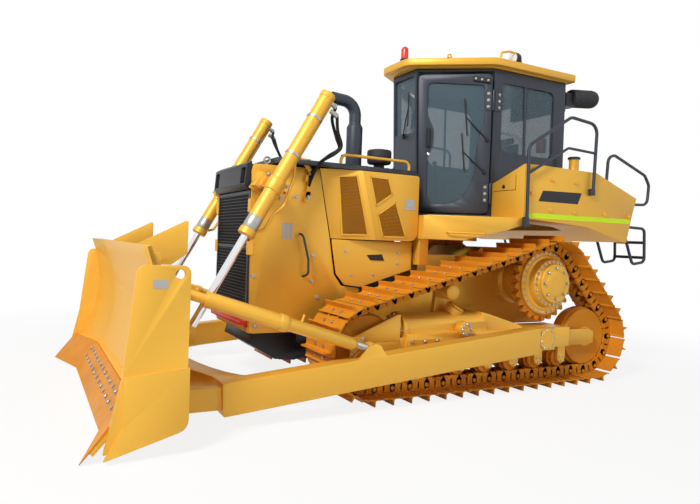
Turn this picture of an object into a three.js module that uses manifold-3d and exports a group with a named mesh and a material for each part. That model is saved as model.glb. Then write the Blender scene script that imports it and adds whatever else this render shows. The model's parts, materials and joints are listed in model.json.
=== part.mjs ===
// Crawler bulldozer with an elevated drive sprocket, a semi-U blade on push arms and a six-sided cab.
// Millimetres. +X forward, +Y to the machine's left, +Z up, Z = 0 the ground.
// Stations along X are counted from the point where the front shoe meets the ground; the finished
// group is moved so that its origin lies under the middle of the whole machine.
import * as THREE from "three";
import { mergeVertices } from "three/addons/utils/BufferGeometryUtils.js";
import Module from "manifold-3d";

const wasm = await Module();
wasm.setup();

// ---------------------------------------------------------------- driving dimensions
const GAP = 0.4; // left between pieces that touch
const DOOR_GAP = 7; // round a door or a window pane
const PIN_GAP = 1.5; // round a pin that turns in a bore

// Tracks
const TRACK_GAUGE = 1880;
const SHOE_WIDTH = 560;
const SHOE_COUNT = 43;
const SHOE_PLATE = 12;
const GROUSER_HEIGHT = 55;
const GROUSER_THICKNESS = 18;
const IDLER_RADIUS = 310;
const LINK_RISE = 65; // pin line above the chain's running face
const PLATE_RISE = 50; // outer face of the shoe plate above the pin line
const FRONT_IDLER_X = 130;
const REAR_IDLER_X = -2710;
const SPROCKET_X = -2120;
const SPROCKET_Z = 1080;
const SPROCKET_PITCH_RADIUS = 404;
const SPROCKET_TEETH = 25;
const CHAIN_RAIL_INNER = 52; // half the gap between the two rails of a chain
const CHAIN_RAIL_OUTER = 96;
const ROLLER_RADIUS = 100;
const ROLLER_COUNT = 7;
const ROLLER_FRONT_X = -252;
const ROLLER_HANGER = 150;
const ROLLER_PITCH = 342;
const CARRIER_X = -800;
const CARRIER_RADIUS = 78;

// Main body
const FRAME_HALF_WIDTH = 440;
const NOSE_HALF_WIDTH = 530;
const NOSE_FRONT_X = 1100;
const NOSE_TOP_Z = 2125;
const DOOR_SEAM_TOP_X = 405; // seam between the nose and the engine door
const DOOR_SEAM_BOTTOM_X = 275;
const ENGINE_HALF_WIDTH = 650;
const ENGINE_REAR_X = -660;
const HOOD_TOP_Z = 2200;
const DOOR_TOP_Z = 2140;
const DOOR_BOTTOM_Z = 1470;
const SKIN = 20; // body panels

// Cab
const CAB_FLOOR_Z = 1775;
const CAB_TOP_Z = 3375;
const CAB_WALL = 45;
const CAB_FRONT_X = -930;
const CAB_FRONT_LEAN = 65; // the windscreen leans forward towards its top
const CAB_FRONT_HALF_WIDTH = 228;
const CAB_HINGE_X = -1550;
const CAB_HINGE_HALF_WIDTH = 720;
const CAB_REAR_X = -2625;
const CAB_REAR_HALF_WIDTH = 720;
const ROOF_SEAT = 4;
const ROOF_THICKNESS = 75;
const ROOF_TOP_Z = 3465;

// Fenders, tank and rails
const TANK_HALF_WIDTH = 1200;
const TANK_FRONT_X = -1560;
const FENDER_TOP_Z = 1750;
const FENDER_BOTTOM_Z = 1500;
const RAIL_RADIUS = 17;
const RAIL_HALF_WIDTH = 1240;
const RAIL_REAR_X = -3800;
const REAR_FRAME_X = -3330;

// Blade and its linkage
const BLADE_TOP_Z = 1370;
const BLADE_GROUND_GAP = 8;
const BLADE_BEND_TOP = 1396; // half width of the straight middle, at the top
const BLADE_BEND_BOTTOM = 1087;
const BLADE_OUTER_TOP = 1668;
const BLADE_OUTER_BOTTOM = 1726;
const BLADE_WING_SLOPE = 0.285;
const MOLDBOARD_RADIUS = 1390;
const MOLDBOARD_PLATE = 24;
const ARM_INNER_Y = TRACK_GAUGE / 2 + 312;
const ARM_OUTER_Y = ARM_INNER_Y + 148;
const ARM_HEIGHT = 250;
const ARM_FRONT_X = 1560;
const ARM_REAR_X = -1650;
const ARM_FRONT_Z = 232; // height of the arm's centre line at its front end
const TRUNNION_X = -1760;
const TRUNNION_Z = 545;
const TRUNNION_RADIUS = 70;
const CYLINDER_Y = 780;
const YOKE_X = 975;
const YOKE_Z = 1918;
const ROD_EYE_X = 1695;
const ROD_EYE_Z = 650;
const BARREL_RADIUS = 72;
const ROD_RADIUS = 35;
const ROD_INSIDE = 160;
const BARREL_ABOVE_YOKE = 1005;
const BARREL_BELOW_YOKE = 520;

// Values that follow from the ones above
const IDLER_Z = IDLER_RADIUS + LINK_RISE + PLATE_RISE + GROUSER_HEIGHT;
const TRACK_Y = TRACK_GAUGE / 2;
const TRACK_INNER_Y = TRACK_Y - SHOE_WIDTH / 2;
const ROLLER_Z = IDLER_Z - IDLER_RADIUS + ROLLER_RADIUS;

// ---------------------------------------------------------------- finishes
const PAINT = { yellow: 0xd79427, dark: 0x2d3441, black: 0x15171a, red: 0xc21a1f };
const finishes = {
  yellow: new THREE.MeshStandardMaterial({ color: PAINT.yellow, roughness: 0.45, metalness: 0.1 }),
  dark: new THREE.MeshStandardMaterial({ color: PAINT.dark, roughness: 0.5, metalness: 0.1 }),
  black: new THREE.MeshStandardMaterial({ color: PAINT.black, roughness: 0.6, metalness: 0.1 }),
  red: new THREE.MeshStandardMaterial({ color: PAINT.red, roughness: 0.4, metalness: 0.1 }),
  chrome: new THREE.MeshStandardMaterial({ color: 0xc8ccd0, roughness: 0.12, metalness: 1 }),
  glass: new THREE.MeshStandardMaterial({ color: 0x7fa6bd, roughness: 0.05, metalness: 0 }),
  rubber: new THREE.MeshStandardMaterial({ color: 0x101215, roughness: 0.8, metalness: 0 }),
};

// ---------------------------------------------------------------- solids
const vector = (p) => new THREE.Vector3(...p);

/** Turns a closed three.js geometry into a manifold-3d solid whose faces point outwards. */
function toSolid(geometry) {
  const bare = geometry.index ? geometry.toNonIndexed() : geometry.clone();
  bare.deleteAttribute("normal");
  bare.deleteAttribute("uv");
  const merged = mergeVertices(bare, 1e-3);
  const index = merged.index.array;
  const triangles = [];
  for (let i = 0; i < index.length; i += 3) {
    const [a, b, c] = [index[i], index[i + 1], index[i + 2]];
    if (a !== b && b !== c && c !== a) triangles.push(a, b, c);
  }
  const build = () => {
    const vertProperties = merged.attributes.position.array;
    const triVerts = new Uint32Array(triangles);
    return new wasm.Manifold(new wasm.Mesh({ numProp: 3, vertProperties, triVerts }));
  };
  const solid = build();
  if (solid.volume() > 0) return solid;
  triangles.reverse();
  return build();
}

const join = (...solids) => solids.flat().reduce((sum, solid) => sum.add(solid));
const cut = (solid, ...tools) => tools.flat().reduce((rest, tool) => rest.subtract(tool), solid);

/** A solid moved by a matrix. */
function placed(geometry, matrix) {
  return toSolid(geometry.applyMatrix4(matrix));
}

/** An axis-aligned box between two corners. */
function block(x0, x1, y0, y1, z0, z1) {
  const box = new THREE.BoxGeometry(x1 - x0, y1 - y0, z1 - z0);
  return toSolid(box.translate((x0 + x1) / 2, (y0 + y1) / 2, (z0 + z1) / 2));
}

function flatShape(outline, holes = []) {
  const shape = new THREE.Shape(outline.map(([u, v]) => new THREE.Vector2(u, v)));
  shape.holes = holes.map((hole) => new THREE.Path(hole.map(([u, v]) => new THREE.Vector2(u, v))));
  return shape;
}

function extruded(outline, depth, holes) {
  return new THREE.ExtrudeGeometry(flatShape(outline, holes), { depth, bevelEnabled: false });
}

const ALONG_X = new THREE.Matrix4().makeBasis(vector([0, 1, 0]), vector([0, 0, 1]), vector([1, 0, 0]));
const ALONG_Y = new THREE.Matrix4().makeBasis(vector([1, 0, 0]), vector([0, 0, 1]), vector([0, -1, 0]));

/** A side-view outline of [x, z] points, carried across from y0 to y1. */
function acrossY(outline, y0, y1, holes) {
  const matrix = new THREE.Matrix4().makeTranslation(0, y1, 0).multiply(ALONG_Y);
  return placed(extruded(outline, y1 - y0, holes), matrix);
}

/** A front-view outline of [y, z] points, carried along from x0 to x1. */
function alongX(outline, x0, x1, holes) {
  const matrix = new THREE.Matrix4().makeTranslation(x0, 0, 0).multiply(ALONG_X);
  return placed(extruded(outline, x1 - x0, holes), matrix);
}

/** A top-view outline of [x, y] points, carried up from z0 to z1. */
function upwards(outline, z0, z1, holes) {
  return placed(extruded(outline, z1 - z0, holes), new THREE.Matrix4().makeTranslation(0, 0, z0));
}

/** The matrix that carries the Y axis onto the line from one point towards another. */
function onLine(from, to) {
  const direction = to.clone().sub(from).normalize();
  const turn = new THREE.Quaternion().setFromUnitVectors(new THREE.Vector3(0, 1, 0), direction);
  return new THREE.Matrix4().compose(from, turn, new THREE.Vector3(1, 1, 1));
}

/** A round bar between two points, or a cone where the end radius differs. */
function bar(from, to, radius, sides = 20, endRadius = radius) {
  const [a, b] = [vector(from), vector(to)];
  const length = a.distanceTo(b);
  const cylinder = new THREE.CylinderGeometry(endRadius, radius, length, sides);
  return placed(cylinder.translate(0, length / 2, 0), onLine(a, b));
}

/** A turned piece: [radius, station] points, stations counted from `from` towards `to`. */
function turned(profile, from, to, sides = 32) {
  const points = profile.map(([radius, station]) => new THREE.Vector2(radius, station));
  return placed(new THREE.LatheGeometry(points, sides), onLine(vector(from), vector(to)));
}

/** A curve that runs straight from each of its points to the next. */
class Route extends THREE.Curve {
  constructor(points) {
    super();
    this.points = points;
  }
  getUtoTmapping(u) {
    return u;
  }
  getPoint(t, target = new THREE.Vector3()) {
    const place = THREE.MathUtils.clamp(t, 0, 1) * (this.points.length - 1);
    const index = Math.min(Math.floor(place), this.points.length - 2);
    return target.lerpVectors(this.points[index], this.points[index + 1], place - index);
  }
}

/** A polyline's points with each inner corner replaced by a bend. */
function bentPoints(points, bend, steps = 2) {
  const corners = points.map(vector);
  const route = [corners[0]];
  for (let i = 1; i < corners.length - 1; i += 1) {
    const before = corners[i - 1].clone().sub(corners[i]);
    const after = corners[i + 1].clone().sub(corners[i]);
    const reach = Math.min(bend, before.length() * 0.45, after.length() * 0.45);
    const start = corners[i].clone().addScaledVector(before.normalize(), reach);
    const end = corners[i].clone().addScaledVector(after.normalize(), reach);
    const curve = new THREE.QuadraticBezierCurve3(start, corners[i], end);
    route.push(...curve.getPoints(steps));
  }
  route.push(corners[corners.length - 1]);
  return route;
}

/** A bent round tube through the given points. */
function tube(points, radius, bend = 90, sides = 6) {
  const path = new Route(bentPoints(points, bend));
  const shape = new THREE.Shape();
  for (let i = 0; i < sides; i += 1) {
    const angle = (i / sides) * 2 * Math.PI;
    const place = [radius * Math.cos(angle), radius * Math.sin(angle)];
    if (i === 0) shape.moveTo(...place);
    else shape.lineTo(...place);
  }
  const steps = path.points.length - 1;
  return toSolid(new THREE.ExtrudeGeometry(shape, { steps, extrudePath: path, bevelEnabled: false }));
}

/** An outline whose corners are rounded off. */
function rounded(outline, radius, steps = 4) {
  const count = outline.length;
  const points = outline.map(([u, v]) => new THREE.Vector2(u, v));
  return points.flatMap((corner, i) => {
    const before = points[(i + count - 1) % count].clone().sub(corner);
    const after = points[(i + 1) % count].clone().sub(corner);
    const size = Array.isArray(radius) ? radius[i] : radius;
    if (size === 0) return [[corner.x, corner.y]];
    const reach = Math.min(size, before.length() * 0.45, after.length() * 0.45);
    const start = corner.clone().addScaledVector(before.normalize(), reach);
    const end = corner.clone().addScaledVector(after.normalize(), reach);
    return new THREE.QuadraticBezierCurve(start, corner, end).getPoints(steps).map((p) => [p.x, p.y]);
  });
}

/** An anticlockwise outline with each side moved inwards by its own margin. */
function inset(outline, margins) {
  const count = outline.length;
  const lines = outline.map(([u, v], i) => {
    const [nextU, nextV] = outline[(i + 1) % count];
    const along = new THREE.Vector2(nextU - u, nextV - v).normalize();
    const margin = Array.isArray(margins) ? margins[i] : margins;
    return { start: new THREE.Vector2(u - along.y * margin, v + along.x * margin), along };
  });
  return lines.map((line, i) => {
    const other = lines[(i + count - 1) % count];
    const offset = line.start.clone().sub(other.start);
    const t = offset.cross(line.along) / other.along.cross(line.along);
    return other.start.clone().addScaledVector(other.along, t).toArray();
  });
}

/** The flat frame of a plane panel: its outline in its own plane and the matrix back to the machine. */
function panelFrame(corners) {
  const points = corners.map(vector);
  const along = points[1].clone().sub(points[0]).normalize();
  const normal = along.clone().cross(points[points.length - 1].clone().sub(points[0])).normalize();
  const up = normal.clone().cross(along);
  const matrix = new THREE.Matrix4().makeBasis(along, up, normal).setPosition(points[0]);
  const outline = points.map((p) => {
    const local = p.clone().sub(points[0]);
    return [local.dot(along), local.dot(up)];
  });
  return { matrix, outline };
}

/**
 * A flat panel. `corners` go anticlockwise round its outer face; the panel lies `depth` behind that
 * face and is `thickness` thick. `shrink` moves its edges in, and each window is cut through it.
 */
function panel(corners, thickness, { shrink = 0, depth = 0, radius = 0, windows = [] } = {}) {
  const { matrix, outline } = panelFrame(corners);
  const edge = rounded(inset(outline, shrink), radius);
  const holes = windows.map((window) => rounded(inset(outline, window.margins), window.radius));
  const body = extruded(edge, thickness, holes).translate(0, 0, -thickness - depth);
  return placed(body, matrix);
}

/** The geometry of a solid, for three.js. */
function geometryOf(solid) {
  const data = solid.getMesh();
  const geometry = new THREE.BufferGeometry();
  geometry.setAttribute("position", new THREE.BufferAttribute(new Float32Array(data.vertProperties), 3));
  geometry.setIndex(new THREE.BufferAttribute(new Uint32Array(data.triVerts), 1));
  return geometry;
}

/** The mirror image of a solid on the other side of the machine. */
const mirrored = (solid) => placed(geometryOf(solid), new THREE.Matrix4().makeScale(1, -1, 1));

const machine = new THREE.Group();

/** Adds a solid to the machine as one named mesh. */
function add(name, solid, finish) {
  const geometry = geometryOf(solid);
  geometry.computeVertexNormals();
  const mesh = new THREE.Mesh(geometry, finishes[finish]);
  mesh.name = name;
  machine.add(mesh);
}

/** Adds a left-hand solid and its mirror image. */
function addPair(name, solid, finish) {
  add(`${name}_left`, solid, finish);
  add(`${name}_right`, mirrored(solid), finish);
}

// ---------------------------------------------------------------- tracks
const TRACK_WHEELS = [
  { x: FRONT_IDLER_X, z: IDLER_Z, radius: IDLER_RADIUS + LINK_RISE },
  { x: SPROCKET_X, z: SPROCKET_Z, radius: SPROCKET_PITCH_RADIUS },
  { x: REAR_IDLER_X, z: IDLER_Z, radius: IDLER_RADIUS + LINK_RISE },
];

/** The chain's pin line: straight runs and arcs round the three wheels, anticlockwise in side view. */
function pinLine() {
  const count = TRACK_WHEELS.length;
  const runs = TRACK_WHEELS.map((wheel, i) => {
    const next = TRACK_WHEELS[(i + 1) % count];
    const [dx, dz] = [next.x - wheel.x, next.z - wheel.z];
    const distance = Math.hypot(dx, dz);
    const heading = Math.atan2(dz, dx) + Math.asin((next.radius - wheel.radius) / distance) * -1;
    const length = Math.sqrt(distance ** 2 - (next.radius - wheel.radius) ** 2);
    return { wheel, heading, length };
  });
  return runs.map((run, i) => {
    const arrive = runs[(i + count - 1) % count].heading;
    const turn = (run.heading - arrive + 4 * Math.PI) % (2 * Math.PI);
    return { ...run, arrive, turn, arc: turn * run.wheel.radius };
  });
}

const PIN_LINE = pinLine();
const PIN_LINE_LENGTH = PIN_LINE.reduce((sum, part) => sum + part.arc + part.length, 0);

/** Position, heading and outward normal at a distance along the pin line. */
function onPinLine(distance) {
  let rest = ((distance % PIN_LINE_LENGTH) + PIN_LINE_LENGTH) % PIN_LINE_LENGTH;
  for (const { wheel, heading, length, arrive, arc } of PIN_LINE) {
    if (rest <= arc) {
      const direction = arrive + rest / wheel.radius;
      const normal = [Math.sin(direction), -Math.cos(direction)];
      return { x: wheel.x + wheel.radius * normal[0], z: wheel.z + wheel.radius * normal[1], direction, normal };
    }
    rest -= arc;
    if (rest <= length) {
      const normal = [Math.sin(heading), -Math.cos(heading)];
      const x = wheel.x + wheel.radius * normal[0] + rest * Math.cos(heading);
      const z = wheel.z + wheel.radius * normal[1] + rest * Math.sin(heading);
      return { x, z, direction: heading, normal };
    }
    rest -= length;
  }
  return onPinLine(0);
}

/** Distances along the pin line that follow its arcs in steps of about `step` radians. */
function arcStations(step) {
  let start = 0;
  return PIN_LINE.flatMap(({ turn, arc, length }) => {
    const count = Math.ceil(turn / step);
    const stations = Array.from({ length: count + 1 }, (_, i) => start + (arc * i) / count);
    start += arc + length;
    return stations;
  });
}

/** One track: the ring of shoe plates with a grouser on each, and the two rails of its chain. */
function track() {
  const shoes = Array.from({ length: SHOE_COUNT }, (_, i) => onPinLine((i * PIN_LINE_LENGTH) / SHOE_COUNT));
  const at = (shoe, rise, ahead = 0) => [
    shoe.x + shoe.normal[0] * rise + Math.cos(shoe.direction) * ahead,
    shoe.z + shoe.normal[1] * rise + Math.sin(shoe.direction) * ahead,
  ];
  const half = GROUSER_THICKNESS / 2;
  const tip = PLATE_RISE + GROUSER_HEIGHT;
  const grousers = shoes.flatMap((shoe) => [
    at(shoe, PLATE_RISE, -half),
    at(shoe, tip, -half),
    at(shoe, tip, half),
    at(shoe, PLATE_RISE, half),
  ]);
  const plateInner = shoes.map((shoe) => at(shoe, PLATE_RISE - SHOE_PLATE));
  const [y0, y1] = [TRACK_Y - SHOE_WIDTH / 2, TRACK_Y + SHOE_WIDTH / 2];
  const plates = acrossY(grousers, y0, y1, [plateInner]);
  const linkTop = shoes.map((shoe) => at(shoe, PLATE_RISE - SHOE_PLATE / 2));
  const running = arcStations(Math.PI / 16).map((distance) => at(onPinLine(distance), -LINK_RISE));
  const rail = (a, b) => acrossY(linkTop, TRACK_Y + a, TRACK_Y + b, [running]);
  return join(
    plates,
    rail(CHAIN_RAIL_INNER, CHAIN_RAIL_OUTER),
    rail(-CHAIN_RAIL_OUTER, -CHAIN_RAIL_INNER),
  );
}

/** An idler wheel: a rim that carries both rails, a raised middle between them, and its axle. */
function idler(x) {
  const tread = IDLER_RADIUS - 3;
  const middle = CHAIN_RAIL_INNER - 8;
  const flange = tread + 22;
  const profile = [
    [0, -120],
    [95, -120],
    [95, -CHAIN_RAIL_OUTER + 4],
    [tread, -CHAIN_RAIL_OUTER + 4],
    [tread, -middle],
    [flange, -middle + 8],
    [flange, middle - 8],
    [tread, middle],
    [tread, CHAIN_RAIL_OUTER - 4],
    [95, CHAIN_RAIL_OUTER - 4],
    [95, 120],
    [0, 120],
  ];
  return turned(profile, [x, TRACK_Y, IDLER_Z], [x, TRACK_Y + 1, IDLER_Z], 24);
}

/** The drive sprocket: a toothed ring bolted to a hub with a stepped outer cover. */
function sprocket() {
  const tip = SPROCKET_PITCH_RADIUS + 14;
  const root = SPROCKET_PITCH_RADIUS - 34;
  const outline = [];
  for (let tooth = 0; tooth < SPROCKET_TEETH; tooth += 1) {
    for (const [share, radius] of [[0, root], [0.28, root], [0.45, tip], [0.83, tip]]) {
      const angle = ((tooth + share) / SPROCKET_TEETH) * 2 * Math.PI;
      outline.push([SPROCKET_X + radius * Math.cos(angle), SPROCKET_Z + radius * Math.sin(angle)]);
    }
  }
  const ring = acrossY(outline, TRACK_Y - 38, TRACK_Y + 38);
  const hub = [
    [0, -38],
    [300, -38],
    [318, 60],
    [262, 78],
    [252, 150],
    [205, 172],
    [205, 205],
    [130, 214],
    [0, 214],
  ];
  return join(ring, turned(hub, [SPROCKET_X, TRACK_Y, SPROCKET_Z], [SPROCKET_X, TRACK_Y + 1, SPROCKET_Z], 18));
}

/** The housing that carries the sprocket out from the main frame. */
function finalDrive() {
  const inner = FRAME_HALF_WIDTH - 2;
  const end = TRACK_Y - 38 - GAP;
  const profile = [
    [0, 0],
    [270, 0],
    [270, 120],
    [235, 150],
    [300, 300],
    [300, end - inner],
    [0, end - inner],
  ];
  return turned(profile, [SPROCKET_X, inner, SPROCKET_Z], [SPROCKET_X, inner + 1, SPROCKET_Z], 18);
}

const EQUALIZER_X = -420;
const FRAME_BEAM = { front: -250, rear: -2375, bottom: ROLLER_Z + ROLLER_RADIUS + 34, top: 610, half: 180 };
const RECOIL = { front: -215, rear: -1240, z: 642, radius: 160, tail: -1700 };

/** The track frame: beam, recoil-spring housing, idler yokes, guards and the trunnion for the push arm. */
function trackFrame() {
  const { front, rear, bottom, top, half } = FRAME_BEAM;
  const beam = block(rear, front, TRACK_Y - half, TRACK_Y + half, bottom, top);
  const housing = turned(
    [
      [0, 0],
      [118, 0],
      [118, 22],
      [RECOIL.radius, 22],
      [RECOIL.radius, 70],
      [RECOIL.radius - 14, 78],
      [RECOIL.radius - 14, RECOIL.front - RECOIL.rear],
      [0, RECOIL.front - RECOIL.rear],
    ],
    [RECOIL.front, TRACK_Y, RECOIL.z],
    [RECOIL.front - 1, TRACK_Y, RECOIL.z],
    20,
  );
  const tail = acrossY(
    [
      [RECOIL.rear + 60, top - 10],
      [RECOIL.rear + 60, RECOIL.z + RECOIL.radius - 12],
      [RECOIL.rear - 60, RECOIL.z + RECOIL.radius - 40],
      [RECOIL.tail, top + 34],
      [RECOIL.tail - 60, top - 10],
    ],
    TRACK_Y - 130,
    TRACK_Y + 130,
  );
  const cheek = (x, towards, y) => {
    const reach = x + towards * 70;
    const base = towards > 0 ? front : rear;
    const outline = [
      [base - towards * 90, bottom + 4],
      [base - towards * 90, top - 30],
      [x, IDLER_Z + 95],
      [reach, IDLER_Z + 60],
      [reach, IDLER_Z - 60],
      [x, IDLER_Z - 75],
    ];
    return acrossY(towards > 0 ? outline.reverse() : outline, y, y + 34);
  };
  const cheeks = [FRONT_IDLER_X, REAR_IDLER_X].flatMap((x) => {
    const towards = x > 0 ? 1 : -1;
    return [cheek(x, towards, TRACK_Y + 122), cheek(x, towards, TRACK_Y - 156)];
  });
  const guard = acrossY(
    [
      [290, 548],
      [290, 606],
      [-150, 792],
      [-190, 792],
      [-190, 548],
    ],
    TRACK_Y + 122,
    TRACK_Y + 158,
  );
  const trunnionBase = block(TRUNNION_X - 130, TRUNNION_X + 130, TRACK_Y + half - 2, ARM_INNER_Y - 14, 430, top);
  const trunnion = bar(
    [TRUNNION_X, ARM_INNER_Y - 20, TRUNNION_Z],
    [TRUNNION_X, ARM_OUTER_Y - 30, TRUNNION_Z],
    TRUNNION_RADIUS,
    24,
  );
  const pad = block(EQUALIZER_X - 70, EQUALIZER_X + 70, TRACK_INNER_Y + 20, TRACK_Y - half + 2, top - 60, top);
  const boss = bar([-905, TRACK_Y + 150, 640], [-905, TRACK_Y + half + 40, 640], 78, 20);
  const cap = bar([-905, TRACK_Y, 780], [-930, TRACK_Y + 30, 836], 92, 20);
  return join(beam, housing, tail, cheeks, guard, trunnionBase, trunnion, boss, cap, pad, carrierRoller());
}

/** The row of track rollers, hung from two thin strips under the track frame. */
function rollerRow() {
  const stripTop = FRAME_BEAM.bottom - GAP;
  const last = ROLLER_FRONT_X - (ROLLER_COUNT - 1) * ROLLER_PITCH;
  const face = CHAIN_RAIL_OUTER + 4;
  const sides = [
    [TRACK_Y - ROLLER_HANGER, TRACK_Y - face + 2],
    [TRACK_Y + face - 2, TRACK_Y + ROLLER_HANGER],
  ];
  const strips = sides.map(([y0, y1]) => block(last - 52, ROLLER_FRONT_X + 52, y0, y1, stripTop - 12, stripTop));
  const rollers = Array.from({ length: ROLLER_COUNT }, (_, i) => {
    const x = ROLLER_FRONT_X - i * ROLLER_PITCH;
    const roller = bar([x, TRACK_Y - face, ROLLER_Z], [x, TRACK_Y + face, ROLLER_Z], ROLLER_RADIUS - 3, 12);
    const hangers = sides.map(([y0, y1]) => block(x - 52, x + 52, y0, y1, ROLLER_Z - 46, stripTop - 6));
    return join(roller, hangers);
  });
  return join(strips, rollers);
}

/** The carrier roller under the top run, on its bracket. */
function carrierRoller() {
  const run = PIN_LINE[0];
  const along = (CARRIER_X - onPinLine(run.arc).x) / Math.cos(run.heading);
  const pin = onPinLine(run.arc + along);
  const drop = LINK_RISE + CARRIER_RADIUS + 3;
  const [x, z] = [pin.x - pin.normal[0] * drop, pin.z - pin.normal[1] * drop];
  const roller = turned(
    [
      [0, -110],
      [46, -110],
      [46, -100],
      [CARRIER_RADIUS, -96],
      [CARRIER_RADIUS, 96],
      [60, 110],
      [0, 118],
    ],
    [x, TRACK_Y, z],
    [x, TRACK_Y + 1, z],
    20,
  );
  const bracket = acrossY(
    [
      [x - 90, RECOIL.z + 60],
      [x + 90, RECOIL.z + 60],
      [x + 50, z + 40],
      [x - 50, z + 40],
    ],
    TRACK_Y - 158,
    TRACK_Y - 106,
  );
  const foot = block(x - 90, x + 90, TRACK_Y - 158, TRACK_Y, RECOIL.z + 60, RECOIL.z + RECOIL.radius - 20);
  return join(roller, bracket, foot);
}

// ---------------------------------------------------------------- main frame and engine
/** The main frame: two side rails, cross members and the rear gear case. */
function mainFrame() {
  const half = FRAME_HALF_WIDTH;
  const rails = [-half, half - 90].map((y) => block(-2560, 960, y, y + 90, 640, 900));
  const crossMembers = [880, 250, -700].map((x) => block(x, x + 80, -half + 60, half - 60, 660, 860));
  const gearCase = acrossY(
    [
      [-1500, 560],
      [-1500, 1250],
      [-1700, 1440],
      [-2500, 1440],
      [-2760, 1250],
      [-2760, 620],
      [-2680, 560],
    ],
    -half,
    half,
  );
  const saddle = block(-1150, 960, -half, half, 900 - 40, 900);
  const fenderBeams = [-half, half - 60].flatMap((y) => [block(-1500, -820, y, y + 60, 880, 1340)]);
  const drives = [finalDrive(), mirrored(finalDrive())];
  return cut(join(rails, crossMembers, gearCase, saddle, fenderBeams, drives), pivotBore());
}

const PIVOT = { x: -1330, z: 700, radius: 66 };

/** The bore in the main frame for the pivot shaft. */
function pivotBore() {
  const { x, z, radius } = PIVOT;
  return bar([x, -FRAME_HALF_WIDTH - 50, z], [x, FRAME_HALF_WIDTH + 50, z], radius + GAP, 24);
}

/** The shaft on which both track frames pivot. */
function pivotShaft() {
  const { x, z, radius } = PIVOT;
  const end = TRACK_Y - FRAME_BEAM.half - GAP;
  const collar = (y0, y1) => bar([x, y0, z - 70], [x, y1, z - 70], radius + 60, 24);
  return join(
    bar([x, -end, z], [x, end, z], radius, 24),
    collar(FRAME_HALF_WIDTH + 30, end),
    collar(-end, -FRAME_HALF_WIDTH - 30),
  );
}

/** The equalizer bar that rocks under the engine, end pads resting on the track frames. */
function equalizerBar() {
  const end = TRACK_Y - FRAME_BEAM.half - 12;
  const z = FRAME_BEAM.top + GAP;
  const x = EQUALIZER_X;
  const outline = [
    [-end, z],
    [-end, z + 60],
    [-150, 580],
    [150, 580],
    [end, z + 60],
    [end, z],
    [TRACK_INNER_Y + 10, z],
    [150, 470],
    [-150, 470],
    [-TRACK_INNER_Y - 10, z],
  ];
  return alongX(outline.reverse(), x - 55, x + 55);
}

/** The black guard under the engine, its front sloping up to the nose. */
function bellyGuard() {
  const outline = [
    [990, 560],
    [1015, 450],
    [760, 300],
    [560, 280],
    [-100, 420],
    [-2500, 440],
    [-2500, 452],
    [-100, 432],
    [540, 400],
    [540, 560],
  ];
  const plate = acrossY(outline, -400, 400);
  return plate;
}

const NOSE = { bottom: 575, sideRearX: -60 };

/** The nose: side plates, cap, and the bottom channel, open at the front for the grille. */
function radiatorGuard() {
  const y = NOSE_HALF_WIDTH;
  const side = (y0) =>
    acrossY(
      [
        [560, NOSE.bottom],
        [1050, NOSE.bottom],
        [1078, NOSE.bottom + 30],
        [NOSE_FRONT_X, NOSE_TOP_Z - 60],
        [1085, NOSE_TOP_Z],
        [DOOR_SEAM_TOP_X + 20, NOSE_TOP_Z + 8],
        [DOOR_SEAM_BOTTOM_X + 4, 1430],
        [225, 1120],
        [140, 1010],
        [NOSE.sideRearX, 985],
        [NOSE.sideRearX, 930],
        [150, 880],
      ],
      y0,
      y0 + 26,
    );
  const cap = block(900, 1038, -y + 20, y - 20, NOSE_TOP_Z - 24, NOSE_TOP_Z);
  const tray = block(640, 1070, -y + 20, y - 20, NOSE.bottom, NOSE.bottom + 26);
  const sill = block(1040, 1072, -y + 20, y - 20, NOSE.bottom, 800);
  const yokes = [liftYoke(), mirrored(liftYoke())];
  return join(side(y - 26), side(-y), cap, tray, sill, yokes);
}

const GRILLE = { bottom: 806, headerBottom: 1890, half: NOSE_HALF_WIDTH - 26 - DOOR_GAP };

/** The grille door: mesh panel in a frame under a dark header with two openings. */
function grilleDoor() {
  const { bottom, headerBottom, half } = GRILLE;
  const top = NOSE_TOP_Z + 30;
  const backX = 1045;
  const mesh = block(backX, backX + 40, -half, half, bottom, headerBottom);
  const header = acrossY(
    [
      [backX, headerBottom],
      [NOSE_FRONT_X + 20, headerBottom],
      [NOSE_FRONT_X + 55, headerBottom + 40],
      [NOSE_FRONT_X + 40, top - 30],
      [NOSE_FRONT_X - 8, top],
      [NOSE_FRONT_X - 8, NOSE_TOP_Z + 4],
      [backX, NOSE_TOP_Z - 34],
    ],
    -half,
    half,
  );
  const openings = [-half + 30, half - 150].map((y) => block(1090, 1200, y, y + 120, headerBottom + 60, top - 60));
  return cut(join(mesh, header), openings);
}

/** The red towing bar in its bracket under the nose. */
function frontTowBar() {
  const z = 640;
  const barY = 470;
  const cross = block(1090, 1150, -barY, barY, z, z + 44);
  const lugs = [-barY, barY - 30].map((y) => block(1072 + GAP, 1100, y, y + 30, z - 20, z + 44));
  return join(cross, lugs);
}

/** The engine and the radiator it drives air through, plain blocks at their real places. */
function engineAndRadiator() {
  const radiator = block(760, 960, -470, 470, 910, NOSE_TOP_Z - 60);
  const shroud = bar([500, 0, 1500], [770, 0, 1500], 320, 24);
  return join(block(-560, 510, -380, 380, 960, 1980), radiator, shroud);
}

const CREASE = { topX: 12, bottomX: -163 };

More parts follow.
